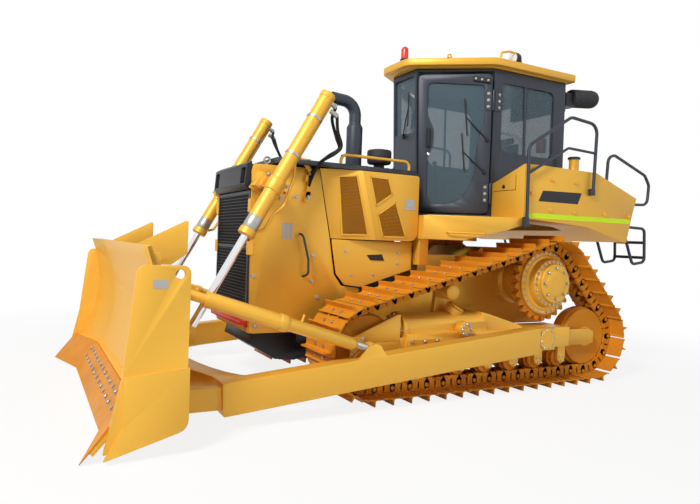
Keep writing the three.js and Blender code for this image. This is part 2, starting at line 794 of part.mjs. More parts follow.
/** An engine-bay door: a front facet that flares outwards, a crease and a rear facet. */
function engineDoor() {
  const [top, bottom] = [DOOR_TOP_Z, DOOR_BOTTOM_Z];
  const yFront = NOSE_HALF_WIDTH + 4;
  const yBack = ENGINE_HALF_WIDTH;
  const rear = ENGINE_REAR_X;
  const front = panel(
    [
      [CREASE.bottomX - 2, yBack, bottom],
      [DOOR_SEAM_BOTTOM_X - DOOR_GAP + 8, yFront, bottom],
      [DOOR_SEAM_TOP_X - DOOR_GAP + 22, yFront, top],
      [CREASE.topX - 2, yBack, top],
    ].reverse(),
    SKIN,
  );
  const back = panel(
    [
      [CREASE.bottomX, yBack, bottom],
      [CREASE.topX, yBack, top],
      [rear, yBack, top],
      [rear, yBack, bottom],
    ].reverse(),
    SKIN,
    { radius: [110, 30, 0, 0] },
  );
  return join(front, back);
}

/** The fixed cover below an engine-bay door. */
function engineSideCover() {
  const top = DOOR_BOTTOM_Z - DOOR_GAP;
  const y = ENGINE_HALF_WIDTH;
  const outline = [
    [ENGINE_REAR_X, top],
    [ENGINE_REAR_X, 1180],
    [-60, 1000],
    [NOSE.sideRearX + 180, 1022],
    [215, 1128],
    [DOOR_SEAM_BOTTOM_X - 8, 1410],
    [DOOR_SEAM_BOTTOM_X - 2, top],
  ];
  return acrossY(outline.reverse(), y - 110, y - 90);
}

/** The hood: a flat top with sloping edges over the engine bay. */
function hood() {
  const section = (shell) => {
    const y = ENGINE_HALF_WIDTH - 6 - shell;
    return [
      [-y, DOOR_TOP_Z + 6 - (shell ? 20 : 0)],
      [y, DOOR_TOP_Z + 6 - (shell ? 20 : 0)],
      [y - 70, HOOD_TOP_Z - shell],
      [-y + 70, HOOD_TOP_Z - shell],
    ];
  };
  const top = alongX(section(0), ENGINE_REAR_X, 880).subtract(alongX(section(SKIN), ENGINE_REAR_X - 5, 860));
  const frontTrim = block(878, 896, -NOSE_HALF_WIDTH + 60, NOSE_HALF_WIDTH - 60, NOSE_TOP_Z + 6, HOOD_TOP_Z - 6);
  const cowlPlan = [
    [CAB_FRONT_X + 32, -205],
    [ENGINE_REAR_X + 12, -540],
    [ENGINE_REAR_X + 12, 540],
    [CAB_FRONT_X + 32, 205],
  ];
  const cowl = upwards(cowlPlan, FENDER_TOP_Z + 30, HOOD_TOP_Z - 4);
  return join(top, frontTrim, hoodRail(), mirrored(hoodRail()), cowl);
}

const EXHAUST = { x: -190, y: 90, radius: 86, pipeRadius: 64, muffler: 470, outlet: 2930 };

/** The exhaust stack: a thick muffler pipe, then a thinner pipe that bends forward. */
function exhaustStack() {
  const { x, y, radius, pipeRadius, muffler, outlet } = EXHAUST;
  const shoulder = HOOD_TOP_Z + muffler;
  const foot = bar([x, y, HOOD_TOP_Z + GAP], [x, y, shoulder], radius, 16);
  const taper = bar([x, y, shoulder - 1], [x, y, shoulder + 30], radius, 16, pipeRadius);
  const upper = tube(
    [
      [x, y, shoulder + 20],
      [x, y, outlet],
      [x + 290, y, outlet + 20],
    ],
    pipeRadius,
    150,
    14,
  );
  return join(foot, taper, upper);
}

/** The air pre-cleaner bowl on the hood. */
function precleaner() {
  const profile = [
    [0, 0],
    [62, 0],
    [62, 82],
    [122, 86],
    [130, 108],
    [130, 222],
    [116, 238],
    [40, 247],
    [0, 247],
  ];
  return turned(profile, [-450, 190, HOOD_TOP_Z + GAP], [-450, 190, HOOD_TOP_Z + 1], 24);
}

/** The yellow grab rail along one edge of the hood. */
function hoodRail() {
  const y = ENGINE_HALF_WIDTH - 110;
  const z = HOOD_TOP_Z;
  return tube(
    [
      [200, y, z - 8],
      [200, y, z + 92],
      [-600, y, z + 92],
      [-600, y, z - 8],
    ],
    13,
    60,
  );
}

// ---------------------------------------------------------------- cab
const CAB_PLAN = {
  front: { x: CAB_FRONT_X, y: CAB_FRONT_HALF_WIDTH },
  hinge: { x: CAB_HINGE_X, y: CAB_HINGE_HALF_WIDTH },
  rear: { x: CAB_REAR_X, y: CAB_REAR_HALF_WIDTH },
};

/** A corner of the cab at a height; only the front corners lean. */
function cabCorner(name, side, z) {
  const { x, y } = CAB_PLAN[name];
  const lean = name === "front" ? (CAB_FRONT_LEAN * (z - CAB_FLOOR_Z)) / (CAB_TOP_Z - CAB_FLOOR_Z) : 0;
  return [x + lean, side * y, z];
}

/** The four corners of a cab wall, anticlockwise from outside. */
function cabWall(from, fromSide, to, toSide, z0 = CAB_FLOOR_Z, z1 = CAB_TOP_Z) {
  return [
    cabCorner(from, fromSide, z0),
    cabCorner(to, toSide, z0),
    cabCorner(to, toSide, z1),
    cabCorner(from, fromSide, z1),
  ];
}

const WALLS = {
  front: cabWall("front", -1, "front", 1),
  left: cabWall("hinge", 1, "rear", 1),
  rear: cabWall("rear", 1, "rear", -1),
  leftDoor: cabWall("front", 1, "hinge", 1),
};
const WINDOWS = {
  front: { margins: [912, 36, 67, 36], radius: 24 },
  left: { margins: [705, 178, 137, 112], radius: [90, 70, 90, 60] },
  rear: { margins: [705, 140, 137, 140], radius: 80 },
};

const POST_RADIUS = 26;
const POST_INSET = { front: [-55, 38], hinge: [-20, 44], rear: [34, 34] };
const DOOR_EDGE = 24; // from the cab's corner to the door's edge, along the door
const DOOR_THICKNESS = CAB_WALL - 8;

/** The cab's shell: front, side and rear walls with their windows, corner posts, floor and top ring. */
function cabShell() {
  const wall = (name, window) => panel(WALLS[name], CAB_WALL, { windows: [window] });
  const side = wall("left", WINDOWS.left);
  const posts = ["front", "hinge", "rear"].flatMap((name) =>
    [-1, 1].map((s) => {
      const [x0, y0, z0] = cabCorner(name, s, CAB_FLOOR_Z);
      const [x1, y1, z1] = cabCorner(name, s, CAB_TOP_Z - 10);
      const [insetX, insetY] = POST_INSET[name];
      const [shiftX, shiftY] = [insetX, -insetY * s];
      return bar([x0 + shiftX, y0 + shiftY, z0], [x1 + shiftX, y1 + shiftY, z1], POST_RADIUS, 8);
    }),
  );
  const plan = (grow, lean) => {
    const front = CAB_FRONT_X + lean;
    return [
      [front + grow, -CAB_FRONT_HALF_WIDTH],
      [front + grow, CAB_FRONT_HALF_WIDTH],
      [CAB_HINGE_X, CAB_HINGE_HALF_WIDTH + grow],
      [CAB_REAR_X, CAB_REAR_HALF_WIDTH + grow],
      [CAB_REAR_X, -CAB_REAR_HALF_WIDTH - grow],
      [CAB_HINGE_X, -CAB_HINGE_HALF_WIDTH - grow],
    ];
  };
  const floor = upwards(plan(0, 0), CAB_FLOOR_Z - 30, CAB_FLOOR_Z + 12);
  const topPlan = plan(0, CAB_FRONT_LEAN);
  const top = upwards(topPlan, CAB_TOP_Z - 30, CAB_TOP_Z);
  const walls = [wall("front", WINDOWS.front), side, mirrored(side), wall("rear", WINDOWS.rear)];
  const body = join(walls, posts, floor, top);
  const rebate = panel(WALLS.leftDoor, DOOR_THICKNESS + DOOR_GAP, {
    shrink: [14, DOOR_EDGE - DOOR_GAP, 52, DOOR_EDGE - DOOR_GAP],
  });
  return cut(body, rebate, mirrored(rebate));
}

/** The pane that fills a wall's window. */
function glassPane(wallName, window) {
  const margins = window.margins.map((margin) => margin + 2);
  const { matrix, outline } = panelFrame(WALLS[wallName]);
  const edge = rounded(inset(outline, margins), window.radius);
  return placed(extruded(edge, 8).translate(0, 0, -26), matrix);
}

/** The door's window in the door's own plane: narrow below, with a waist beside the handle. */
const DOOR_WINDOW = [
  [155, 92],
  [345, 84],
  [500, 160],
  [600, 365],
  [632, 760],
  [698, 1010],
  [692, 1385],
  [80, 1425],
  [92, 1060],
  [168, 915],
  [162, 735],
  [100, 600],
  [108, 165],
];

/** The door's window made smaller all round, for its pane. */
const doorOpening = (gap) => rounded(inset(DOOR_WINDOW, gap), 60, 2);

/** The door's outer corners inside its opening. */
const doorCorners = () => cabWall("front", 1, "hinge", 1, CAB_FLOOR_Z + 28, CAB_TOP_Z - 66);

/** A cab door: a frame round one large window. */
function cabDoor() {
  const { matrix } = panelFrame(doorCorners());
  const through = DOOR_THICKNESS + 20;
  const opening = placed(extruded(doorOpening(0), through).translate(0, 0, 10 - through), matrix);
  const leaf = panel(doorCorners(), DOOR_THICKNESS, { shrink: [0, DOOR_EDGE, 0, DOOR_EDGE], radius: 60 });
  return leaf.subtract(opening);
}

function doorGlass() {
  const { matrix } = panelFrame(doorCorners());
  return placed(extruded(doorOpening(2), 8).translate(0, 0, -24), matrix);
}

/** The roof: a six-sided slab with an overhang all round. */
function cabRoof() {
  const half = [
    [-716, 150],
    [-724, 222],
    [-756, 268],
    [-1480, 800],
    [-1570, 815],
    [-2690, 800],
    [-2726, 760],
  ];
  const other = half.map(([x, y]) => [x, -y]).reverse();
  const outline = [...other, ...half];
  const slab = upwards(outline, ROOF_TOP_Z - ROOF_THICKNESS, ROOF_TOP_Z);
  const middle = -1720;
  const drawnIn = outline.map(([x, y]) => [middle + (x - middle) * 0.93, y * 0.9]);
  const under = upwards(drawnIn, CAB_TOP_Z + ROOF_SEAT, ROOF_TOP_Z - ROOF_THICKNESS + 1);
  return join(slab, under);
}

/** The operator's seat: pedestal, cushion, back and head rest. */
function operatorSeat() {
  const z = CAB_FLOOR_Z + 12 + GAP;
  const x = -2100;
  const pedestal = block(x - 180, x + 180, -170, 170, z, z + 290);
  const cushion = block(x - 240, x + 260, -250, 250, z + 280, z + 420);
  const back = acrossY(
    [
      [x - 120, z + 400],
      [x - 240, z + 410],
      [x - 350, z + 1000],
      [x - 240, z + 1020],
    ].reverse(),
    -240,
    240,
  );
  return join(pedestal, cushion, back);
}

/** The two side consoles with a control lever on each, joined under the seat's front. */
function consoles() {
  const z = CAB_FLOOR_Z + 12 + GAP;
  const pod = (s) => {
    const body = block(-2180, -1610, s > 0 ? 330 : -560, s > 0 ? 560 : -330, z, z + 520);
    const lever = bar([-1700, s * 445, z + 515], [-1670, s * 445, z + 660], 26, 12);
    return join(body, lever);
  };
  const bridge = block(-1830, -1790, -340, 340, z, z + 60);
  return join(pod(1), pod(-1), bridge);
}

/** The dashboard under the windscreen. */
function dashboard() {
  const z = CAB_FLOOR_Z + 12 + GAP;
  return acrossY(
    [
      [-1010, z],
      [-1000, z + 600],
      [-1070, z + 640],
      [-1160, z + 560],
      [-1120, z],
    ],
    -170,
    170,
  );
}

/** The low strip on the cab's floor that joins the consoles to the dashboard. */
const floorStrip = () => block(-1800, -1100, -30, 30, CAB_FLOOR_Z + 14, CAB_FLOOR_Z + 40);

const BEACON = { x: -805, y: 75 };

/** The warning beacon on the roof. */
const beacon = () =>
  turned(
    [
      [0, 0],
      [50, 0],
      [50, 40],
      [42, 46],
      [41, 150],
      [28, 178],
      [0, 186],
    ],
    [BEACON.x, BEACON.y, ROOF_TOP_Z + GAP],
    [BEACON.x, BEACON.y, ROOF_TOP_Z + 1],
    20,
  );

/** The air-conditioning unit on the cab's back wall. */
function rearAirUnit() {
  const x = CAB_REAR_X - GAP;
  const mountPlate = block(x - 60, x, -160, 680, 3060, 3300);
  const drum = bar([x - 170, 640, 3240], [x - 560, 640, 3280], 108, 24);
  const neck = block(x - 210, x - 50, 560, 690, 3130, 3290);
  return join(mountPlate, drum, neck);
}

// ---------------------------------------------------------------- fenders, tank and rails
/** The fender beside the cab: a box whose front face runs parallel to the cab door. */
function fender() {
  const plan = [
    [ENGINE_REAR_X - 10, 500],
    [ENGINE_REAR_X - 10, 735],
    [-1365, 1172],
    [TANK_FRONT_X + GAP, 1190],
    [TANK_FRONT_X + GAP, 500],
  ];
  const body = upwards([...plan].reverse(), FENDER_BOTTOM_Z, FENDER_TOP_Z - GAP);
  const slope = acrossY(
    [
      [-2000, 1300],
      [-1040, 1510],
      [-1700, 1720],
      [-2000, 1720],
    ],
    0,
    1400,
  );
  const underCab = block(-2400, -600, -100, CAB_HINGE_HALF_WIDTH + 30, CAB_FLOOR_Z - 31, FENDER_TOP_Z + 10);
  return cut(body, underCab, slope.subtract(block(-3000, 0, -10, 520, 0, 3000)));
}

/** The firewall post that carries the fender's front end. */
const fenderPost = () => block(-800, -690, 540, TRACK_INNER_Y - 8, 1230, FENDER_BOTTOM_Z + 10);

/** The rear tank: a body across the machine behind the cab with an arm along each side of it. */
function fuelTank() {
  const outline = [
    [TANK_FRONT_X, 1752],
    [TANK_FRONT_X, 2300],
    [-1750, 2305],
    [-2610, 2292],
    [-3284, 2055],
    [-3220, 1860],
    [-3137, 1550],
    [-2900, 1600],
    [-2481, 1700],
  ];
  const body = acrossY(outline, -TANK_HALF_WIDTH, TANK_HALF_WIDTH);
  const side = CAB_HINGE_HALF_WIDTH + 12;
  const cabSpace = block(CAB_REAR_X - 14, -1000, -side, side, 1000, 3000);
  const slope = alongX(
    [
      [side - 12, 2119],
      [TANK_HALF_WIDTH - 10, 2301],
      [TANK_HALF_WIDTH - 10, 2400],
      [side - 12, 2400],
    ],
    -1990,
    TANK_FRONT_X + 60,
  );
  return cut(body, cabSpace, slope, mirrored(slope));
}

const FILLER = { x: -2600, y: 900, z: 2260 }; // the neck's foot, inside the tank's top

/** The tank's filler neck and cap. */
const fillerNeck = () =>
  turned(
    [
      [0, 0],
      [54, 0],
      [54, 204],
      [66, 208],
      [66, 228],
      [0, 234],
    ],
    [FILLER.x, FILLER.y, FILLER.z],
    [FILLER.x, FILLER.y, FILLER.z + 1],
    20,
  );

/** The handrails on one side: the tall rail beside the tank and the loop at the rear. */
function sideRail() {
  const y = RAIL_HALF_WIDTH;
  const main = tube(
    [
      [-1568, y, 1680],
      [-1561, y, 2480],
      [-2146, y, 2836],
      [-2543, y, 2800],
      [-2515, y, 2060],
    ],
    RAIL_RADIUS,
    110,
  );
  const middle = tube(
    [
      [-1566, y, 2200],
      [-2120, y, 2510],
      [-2526, y, 2494],
    ],
    RAIL_RADIUS - 3,
    80,
  );
  const feet = [
    block(-1600, -1540, TANK_HALF_WIDTH + GAP, y + 4, 1660, 1760),
    block(-2548, -2484, TANK_HALF_WIDTH + GAP, y + 4, 2040, 2110),
  ];
  return join(main, middle, feet);
}

/** The loop rail at one rear corner, from the tank's top round to the rear frame. */
function rearRail() {
  const y = 1000;
  return tube(
    [
      [-3020, y, 2156],
      [-3044, y, 2530],
      [-3150, y, 2560],
      [-3700, y, 2370],
      [RAIL_REAR_X + 18, y, 2260],
      [RAIL_REAR_X + 40, y, 2020],
      [REAR_FRAME_X, y, 2000],
    ],
    RAIL_RADIUS,
    90,
  );
}

/** The frame behind one rear corner of the tank: the loop rail, two cross tubes and a short ladder. */
function rearSteps() {
  const [inner, outer] = [600, 1000];
  const x = REAR_FRAME_X;
  const cross = [1740, 2000].map((z) => bar([x, inner - 24, z], [x, outer + 24, z], RAIL_RADIUS + 6, 8));
  const uprights = [inner, outer].map((y) => bar([x, y, 1740], [x, y, 2000], RAIL_RADIUS - 3, 6));
  const stile = (y) =>
    tube(
      [
        [x, y, 1740],
        [x - 400, y, 1730],
        [x - 420, y, 1330],
        [x - 200, y, 1300],
        [x, y, 1740],
      ],
      RAIL_RADIUS,
      60,
    );
  const step = (z) => block(x - 425, x - 385, inner, outer, z - 15, z + 15);
  return join(cross, uprights, stile(inner), stile(outer), step(1380), step(1560), rearRail());
}

/** The rear hitch: a plate on the gear case with a drawbar and its pin. */
function rearHitch() {
  const x = -2760 - GAP;
  const plateBody = block(x - 60, x, -300, 300, 620, 1150);
  const jaw = [560, 680].map((z) => block(x - 330, x - 40, -130, 130, z, z + 50));
  const web = block(x - 120, x - 50, -130, 130, 560, 730);
  const pin = bar([x - 240, 0, 545], [x - 240, 0, 770], 32, 16);
  return join(plateBody, jaw, web, pin);
}

// ---------------------------------------------------------------- blade
const share = (z, height) => Math.min(Math.max(z / height, 0), 1.1);
const bendAt = (z) => BLADE_BEND_BOTTOM + (BLADE_BEND_TOP - BLADE_BEND_BOTTOM) * share(z, BLADE_TOP_Z);
const outerAt = (z) => BLADE_OUTER_BOTTOM + (BLADE_OUTER_TOP - BLADE_OUTER_BOTTOM) * share(z, 1250);
const wingShift = (z) => (outerAt(z) - bendAt(z)) * BLADE_WING_SLOPE;

/** A side-view outline carried across the whole blade: straight in the middle, angled in the wings. */
function acrossBlade(outline, stations = [-2, -1, 1, 2]) {
  const steps = stations.length - 1;
  const geometry = new THREE.ExtrudeGeometry(flatShape(outline), { depth: steps, steps, bevelEnabled: false });
  const place = geometry.attributes.position;
  for (let i = 0; i < place.count; i += 1) {
    const station = stations[Math.round(place.getZ(i))];
    const z = place.getY(i);
    const y = Math.sign(station) * (Math.abs(station) > 1 ? outerAt(z) : bendAt(z));
    const shift = Math.abs(station) > 1 ? wingShift(z) : 0;
    place.setXYZ(i, place.getX(i) + shift, y, z);
  }
  return toSolid(geometry);
}

const MOLDBOARD_CENTRE = { x: 2030 + MOLDBOARD_RADIUS, z: 800 };

/** The moldboard's front line in side view, from its foot up, at a distance behind the front face. */
function moldboardLine(behind, from = 250, to = BLADE_TOP_Z, steps = 10) {
  return Array.from({ length: steps + 1 }, (_, i) => {
    const z = from + ((to - from) * i) / steps;
    const { x, z: centreZ } = MOLDBOARD_CENTRE;
    const radius = MOLDBOARD_RADIUS + behind;
    return [x - Math.sqrt(radius ** 2 - (z - centreZ) ** 2), z];
  });
}

/** The moldboard: curved plate with wings, box beams and ribs behind it. */
function moldboard() {
  const front = moldboardLine(0);
  const back = moldboardLine(MOLDBOARD_PLATE);
  const skin = acrossBlade([...front, ...back.reverse()].reverse());
  const beam = (z0, z1, depth) => [
    ...moldboardLine(MOLDBOARD_PLATE / 2, z0, z1, 4),
    [MOLDBOARD_CENTRE.x - MOLDBOARD_RADIUS - depth, z1],
    [MOLDBOARD_CENTRE.x - MOLDBOARD_RADIUS - depth, z0],
  ];
  const lower = acrossY(beam(250, 520, 70).reverse(), -1120, 1120);
  const upper = acrossY(beam(1210, 1320, -20).reverse(), -1300, 1300);
  const ribs = [-1060, -640, -210, 190, 620, 1040].map((y) => acrossY(beam(300, 1300, 40).reverse(), y, y + 20));
  const heel = acrossBlade([edgePoint(0, -30), edgePoint(0.75, -30), edgePoint(0.75, -GAP), edgePoint(0, -GAP)]);
  const joinHeel = acrossBlade([[2128, 238], edgePoint(0.08, -10), edgePoint(-0.05, -10), [2128, 275]]);
  return join(skin, lower, upper, ribs, heel, joinHeel);
}

const EDGE_LINE = { top: [2186, 262], toe: [2392, BLADE_GROUND_GAP], thickness: 28 };

/** A point beside the back face of the cutting edge: a share of the way down it, a distance in front. */
function edgePoint(share, ahead) {
  const [x0, z0] = EDGE_LINE.top;
  const [x1, z1] = EDGE_LINE.toe;
  const length = Math.hypot(x1 - x0, z1 - z0);
  const [nx, nz] = [(z0 - z1) / length, (x1 - x0) / length];
  return [x0 + (x1 - x0) * share + nx * ahead, z0 + (z1 - z0) * share + nz * ahead];
}

/** The cutting edge and its end bits: one plate in front of the heel, thinned to its toe. */
function cuttingEdge() {
  const plate = acrossBlade([edgePoint(0, 0), edgePoint(1, 0), edgePoint(1, 6), edgePoint(0, EDGE_LINE.thickness)]);
  const beyond = leaning(block(1800, 2800, -2 - GAP, 200, -50, 500));
  return cut(plate, beyond, mirrored(beyond));
}

const END_PLATE = { thickness: 26, doubler: 22 };

/** A solid drawn upright from y = 0, leaned outward with the wing's end. */
function leaning(solid) {
  const lean = (BLADE_OUTER_TOP - BLADE_OUTER_BOTTOM) / 1250;
  const matrix = new THREE.Matrix4().makeShear(0, 0, 0, 0, 0, lean).setPosition(0, BLADE_OUTER_BOTTOM, 0);
  return placed(geometryOf(solid), matrix);
}

/** The end plate that closes one wing and leans with it, with its lifting hole and lower doubler. */
function endPlate() {
  const { thickness, doubler } = END_PLATE;
  const outline = rounded(
    [
      [1926, 170],
      [2380, 60],
      [2440, 60],
      [2337, 538],
      [2266, 1215],
      [2234, 1250],
      [1914, 1250],
    ],
    [60, 0, 0, 0, 20, 20, 60],
  );
  const hole = Array.from({ length: 20 }, (_, i) => {
    const angle = (i / 20) * 2 * Math.PI;
    return [1986 + 34 * Math.cos(angle), 1190 + 34 * Math.sin(angle)];
  });
  const lower = rounded(
    [
      [1912, 172],
      [2440, 24],
      [2325, 223],
      [2337, 538],
      [1912, 575],
    ],
    [70, 6, 30, 10, 6],
  );
  const upright = join(acrossY(outline, -2, thickness, [hole]), acrossY(lower, thickness - 1, thickness + doubler));
  return leaning(upright);
}

const GUARD_Y = 760;

/** One of the two rod guards that stand on the back of the blade. */
const rodGuard = () =>
  acrossY(
    [
      [1849, 1205],
      [1720, 1300],
      [1720, 1560],
      [1738, 1570],
      [2128, 1366],
      [2100, 1300],
      [2060, 1205],
    ].reverse(),
    GUARD_Y - 10,
    GUARD_Y + 10,
  );

/** The side view of the push arm's box. */
function armOutline() {
  const slope = (TRUNNION_Z - ARM_FRONT_Z) / (TRUNNION_X - ARM_FRONT_X);
  const centre = (x) => ARM_FRONT_Z + (x - ARM_FRONT_X) * slope;
  const half = ARM_HEIGHT / 2;
  return { centre, half };
}

/** A push arm: box beam, trunnion bearing, front tongue, curved inner gusset and the brace's bracket. */
function pushArm() {
  const { centre, half } = armOutline();
  const beam = acrossY(
    rounded(
      [
        [ARM_REAR_X, centre(ARM_REAR_X) - half],
        [ARM_FRONT_X, centre(ARM_FRONT_X) - half],
        [ARM_FRONT_X + 15, centre(ARM_FRONT_X) + half],
        [ARM_REAR_X, centre(ARM_REAR_X) + half],
      ],
      14,
      2,
    ),
    ARM_INNER_Y,
    ARM_OUTER_Y,
  );
  const bearing = block(
    TRUNNION_X - 115,
    ARM_REAR_X + 30,
    ARM_INNER_Y + 6,
    ARM_OUTER_Y - 22,
    TRUNNION_Z - 108,
    TRUNNION_Z + 108,
  );
  const bore = bar(
    [TRUNNION_X, ARM_INNER_Y - 50, TRUNNION_Z],
    [TRUNNION_X, ARM_OUTER_Y + 50, TRUNNION_Z],
    TRUNNION_RADIUS + PIN_GAP,
    24,
  );
  const tongue = block(ARM_FRONT_X - 20, 1925 - GAP, 1275, 1350, 150, 320);
  const gusset = upwards(
    [
      [1080, ARM_INNER_Y + 2],
      [1240, 1172],
      [1340, 1090],
      [1420, 950],
      [1480, 780],
      [1530, 580],
      [1565, 365],
      [1700, 330],
      [1700, 700],
      [1560, 1100],
      [1560, ARM_INNER_Y + 2],
    ],
    150,
    345,
  );
  const strut = block(1690, 1955 - GAP, 340, 680, 170, 330);
  const lugs = [1262, 1368].map((y) =>
    acrossY(
      [
        [140, centre(140) + half - 4],
        [420, centre(420) + half - 4],
        [300, BRACE.rearZ + 40],
        [250, BRACE.rearZ + 62],
        [200, BRACE.rearZ + 40],
      ],
      y,
      y + 30,
    ),
  );
  const pin = bar([250, 1265, BRACE.rearZ], [250, 1395, BRACE.rearZ], 36, 16);
  return join(cut(join(beam, bearing), bore), tongue, gusset, strut, lugs, pin);
}

const BRACE = {
  rearX: 250,
  rearZ: 535,
  rearY: ARM_INNER_Y + 78,
  frontX: 1900,
  frontZ: 1040,
  frontY: ARM_INNER_Y + 38,
  radius: 62,
};

/** The brace between a push arm and the blade's upper corner. */
function brace(radius) {
  const { rearX, rearZ, rearY, frontX, frontZ, frontY } = BRACE;
  const at = (t) => [rearX + (frontX - rearX) * t, rearY + (frontY - rearY) * t, rearZ + (frontZ - rearZ) * t];
  return join(
    bar(at(0.026), at(0.12), 32, 12),
    bar(at(0.11), at(0.5), radius - 8, 16),
    bar(at(0.48), at(0.52), radius + 6, 16),
    bar(at(0.5), at(0.88), radius, 16),
    bar(at(0.87), at(0.975), radius - 22, 12),
  );
}

/** The bracket on the blade that takes the brace's front end. */
function braceBracket() {
  const { frontX, frontY, frontZ } = BRACE;
  return block(frontX - 10, 2040, frontY - 90, frontY + 90, frontZ - 90, frontZ + 90);
}

/** The two ears on the blade's back beside a lift rod's eye. */
function rodEars() {
  const outline = [
    [1965, ROD_EYE_Z - 180],
    [1965, ROD_EYE_Z + 120],
    [ROD_EYE_X + 60, ROD_EYE_Z + 62],
    [ROD_EYE_X - 40, ROD_EYE_Z + 50],
    [ROD_EYE_X - 62, ROD_EYE_Z - 10],
    [ROD_EYE_X - 40, ROD_EYE_Z - 60],
    [ROD_EYE_X + 60, ROD_EYE_Z - 90],
  ];
  return outline;
}

/** The whole welded blade: moldboard, end plates, rod guards, rod ears and brace brackets. */
function blade() {
  const ears = [CYLINDER_Y - 84, CYLINDER_Y + 54].map((y) => acrossY(rodEars(), y, y + 30));
  const earCaps = [
    bar([ROD_EYE_X, CYLINDER_Y - 98, ROD_EYE_Z], [ROD_EYE_X, CYLINDER_Y - 70, ROD_EYE_Z], 44, 16),
    bar([ROD_EYE_X, CYLINDER_Y + 70, ROD_EYE_Z], [ROD_EYE_X, CYLINDER_Y + 98, ROD_EYE_Z], 44, 16),
  ];
  const sidePieces = join(endPlate(), rodGuard(), ears, earCaps, braceBracket());
  return join(moldboard(), sidePieces, mirrored(sidePieces));
}

// ---------------------------------------------------------------- lift cylinders
const AXIS = new THREE.Vector2(ROD_EYE_X - YOKE_X, ROD_EYE_Z - YOKE_Z).normalize();

/** A point on a lift cylinder's axis, at a distance below the yoke. */
const onCylinder = (down, y = CYLINDER_Y) => [YOKE_X + AXIS.x * down, y, YOKE_Z + AXIS.y * down];

/** The yoke on the nose: a mounting plate, two bearing blocks and the cross piece with the pin's bore. */
function liftYoke() {
  const across = new THREE.Vector2(-AXIS.y, AXIS.x);
  const at = (along, down, y) => [YOKE_X + across.x * along + AXIS.x * down, y, YOKE_Z + across.y * along + AXIS.y * down];
  const corner = (along, down) => {
    const [x, , z] = at(along, down, 0);
    return [x, z];
  };
  const rectangle = (a, d, offset = 0) => [
    corner(offset - a, -d),
    corner(offset + a, -d),
    corner(offset + a, d),
    corner(offset - a, d),
  ];
  const y = NOSE_HALF_WIDTH - 2;
  const base = acrossY(rectangle(130, 90), y, y + 40);
  const blocks = [-98, 98].map((offset) => acrossY(rectangle(32, 72, offset), y + 30, 672));
  const cross = acrossY(rectangle(90, 48), y + 60, 690);
  const bore = bar(onCylinder(0, 600), onCylinder(0, 800), 38 + PIN_GAP, 20);
  return cut(join(base, blocks, cross), bore);
}

/** A lift cylinder's barrel with its cap, collar, pin, gland and side pipe. */
function liftBarrel() {
  const length = BARREL_ABOVE_YOKE + BARREL_BELOW_YOKE;
  const r = BARREL_RADIUS;
  const profile = [
    [0, 0],
    [r - 10, 0],
    [r, 10],
    [r, BARREL_ABOVE_YOKE - 60],
    [r + 8, BARREL_ABOVE_YOKE - 56],
    [r + 8, BARREL_ABOVE_YOKE + 56],
    [r, BARREL_ABOVE_YOKE + 60],
    [r, length - 60],
    [r + 5, length - 56],
    [r + 5, length],
    [ROD_RADIUS + PIN_GAP, length],
    [ROD_RADIUS + PIN_GAP, 60],
    [0, 60],
  ];
  const barrel = turned(profile, onCylinder(-BARREL_ABOVE_YOKE), onCylinder(0), 20);
  const pin = bar(onCylinder(0, 612), onCylinder(0, CYLINDER_Y - r), 38, 20);
  const collarBore = bar(onCylinder(-90), onCylinder(90), ROD_RADIUS + PIN_GAP, 28);
  return join(barrel, cut(pin, collarBore));
}

/** The chromed rod with its eye. */
function liftRod() {
  const reach = Math.hypot(ROD_EYE_X - YOKE_X, ROD_EYE_Z - YOKE_Z);
  const rod = bar(onCylinder(-ROD_INSIDE), onCylinder(reach - 50), ROD_RADIUS, 28);
  const eye = bar(onCylinder(reach, CYLINDER_Y - 42), onCylinder(reach, CYLINDER_Y + 42), 62, 20);
  return join(rod, eye);
}

// ---------------------------------------------------------------- assembly
addPair("track", track(), "yellow");
addPair("front_idler", idler(FRONT_IDLER_X), "yellow");
addPair("rear_idler", idler(REAR_IDLER_X), "yellow");
addPair("drive_sprocket", sprocket(), "yellow");
addPair("track_frame", trackFrame(), "yellow");
addPair("track_rollers", rollerRow(), "yellow");
add("main_frame", mainFrame(), "yellow");
add("pivot_shaft", pivotShaft(), "yellow");
add("equalizer_bar", equalizerBar(), "yellow");
add("belly_guard", bellyGuard(), "black");
add("radiator_guard", radiatorGuard(), "yellow");
add("grille_door", grilleDoor(), "dark");
add("front_tow_bar", frontTowBar(), "red");
add("engine_and_radiator", engineAndRadiator(), "dark");
addPair("engine_door", engineDoor(), "yellow");
addPair("engine_side_cover", engineSideCover(), "yellow");
add("hood", hood(), "dark");
add("exhaust_stack", exhaustStack(), "dark");
add("precleaner", precleaner(), "black");
add("cab_shell", cabShell(), "dark");
add("windscreen", glassPane("front", WINDOWS.front), "glass");
addPair("side_window", glassPane("left", WINDOWS.left), "glass");
add("rear_window", glassPane("rear", WINDOWS.rear), "glass");
addPair("cab_door", cabDoor(), "dark");
addPair("cab_door_glass", doorGlass(), "glass");
add("cab_roof", cabRoof(), "yellow");
add("operator_seat", operatorSeat(), "black");
add("cab_controls", join(consoles(), dashboard(), floorStrip()), "black");
add("beacon", beacon(), "red");
add("rear_air_unit", rearAirUnit(), "black");
addPair("fender", join(fender(), fenderPost()), "yellow");
add("fuel_tank", join(fuelTank(), fillerNeck()), "yellow");
addPair("handrail", sideRail(), "dark");
addPair("rear_steps", rearSteps(), "dark");
add("rear_hitch", rearHitch(), "yellow");
add("blade", blade(), "yellow");
add("cutting_edge", cuttingEdge(), "yellow");
addPair("push_arm", pushArm(), "yellow");
addPair("blade_brace", brace(BRACE.radius), "yellow");
addPair("lift_barrel", liftBarrel(), "yellow");
addPair("lift_rod", liftRod(), "chrome");

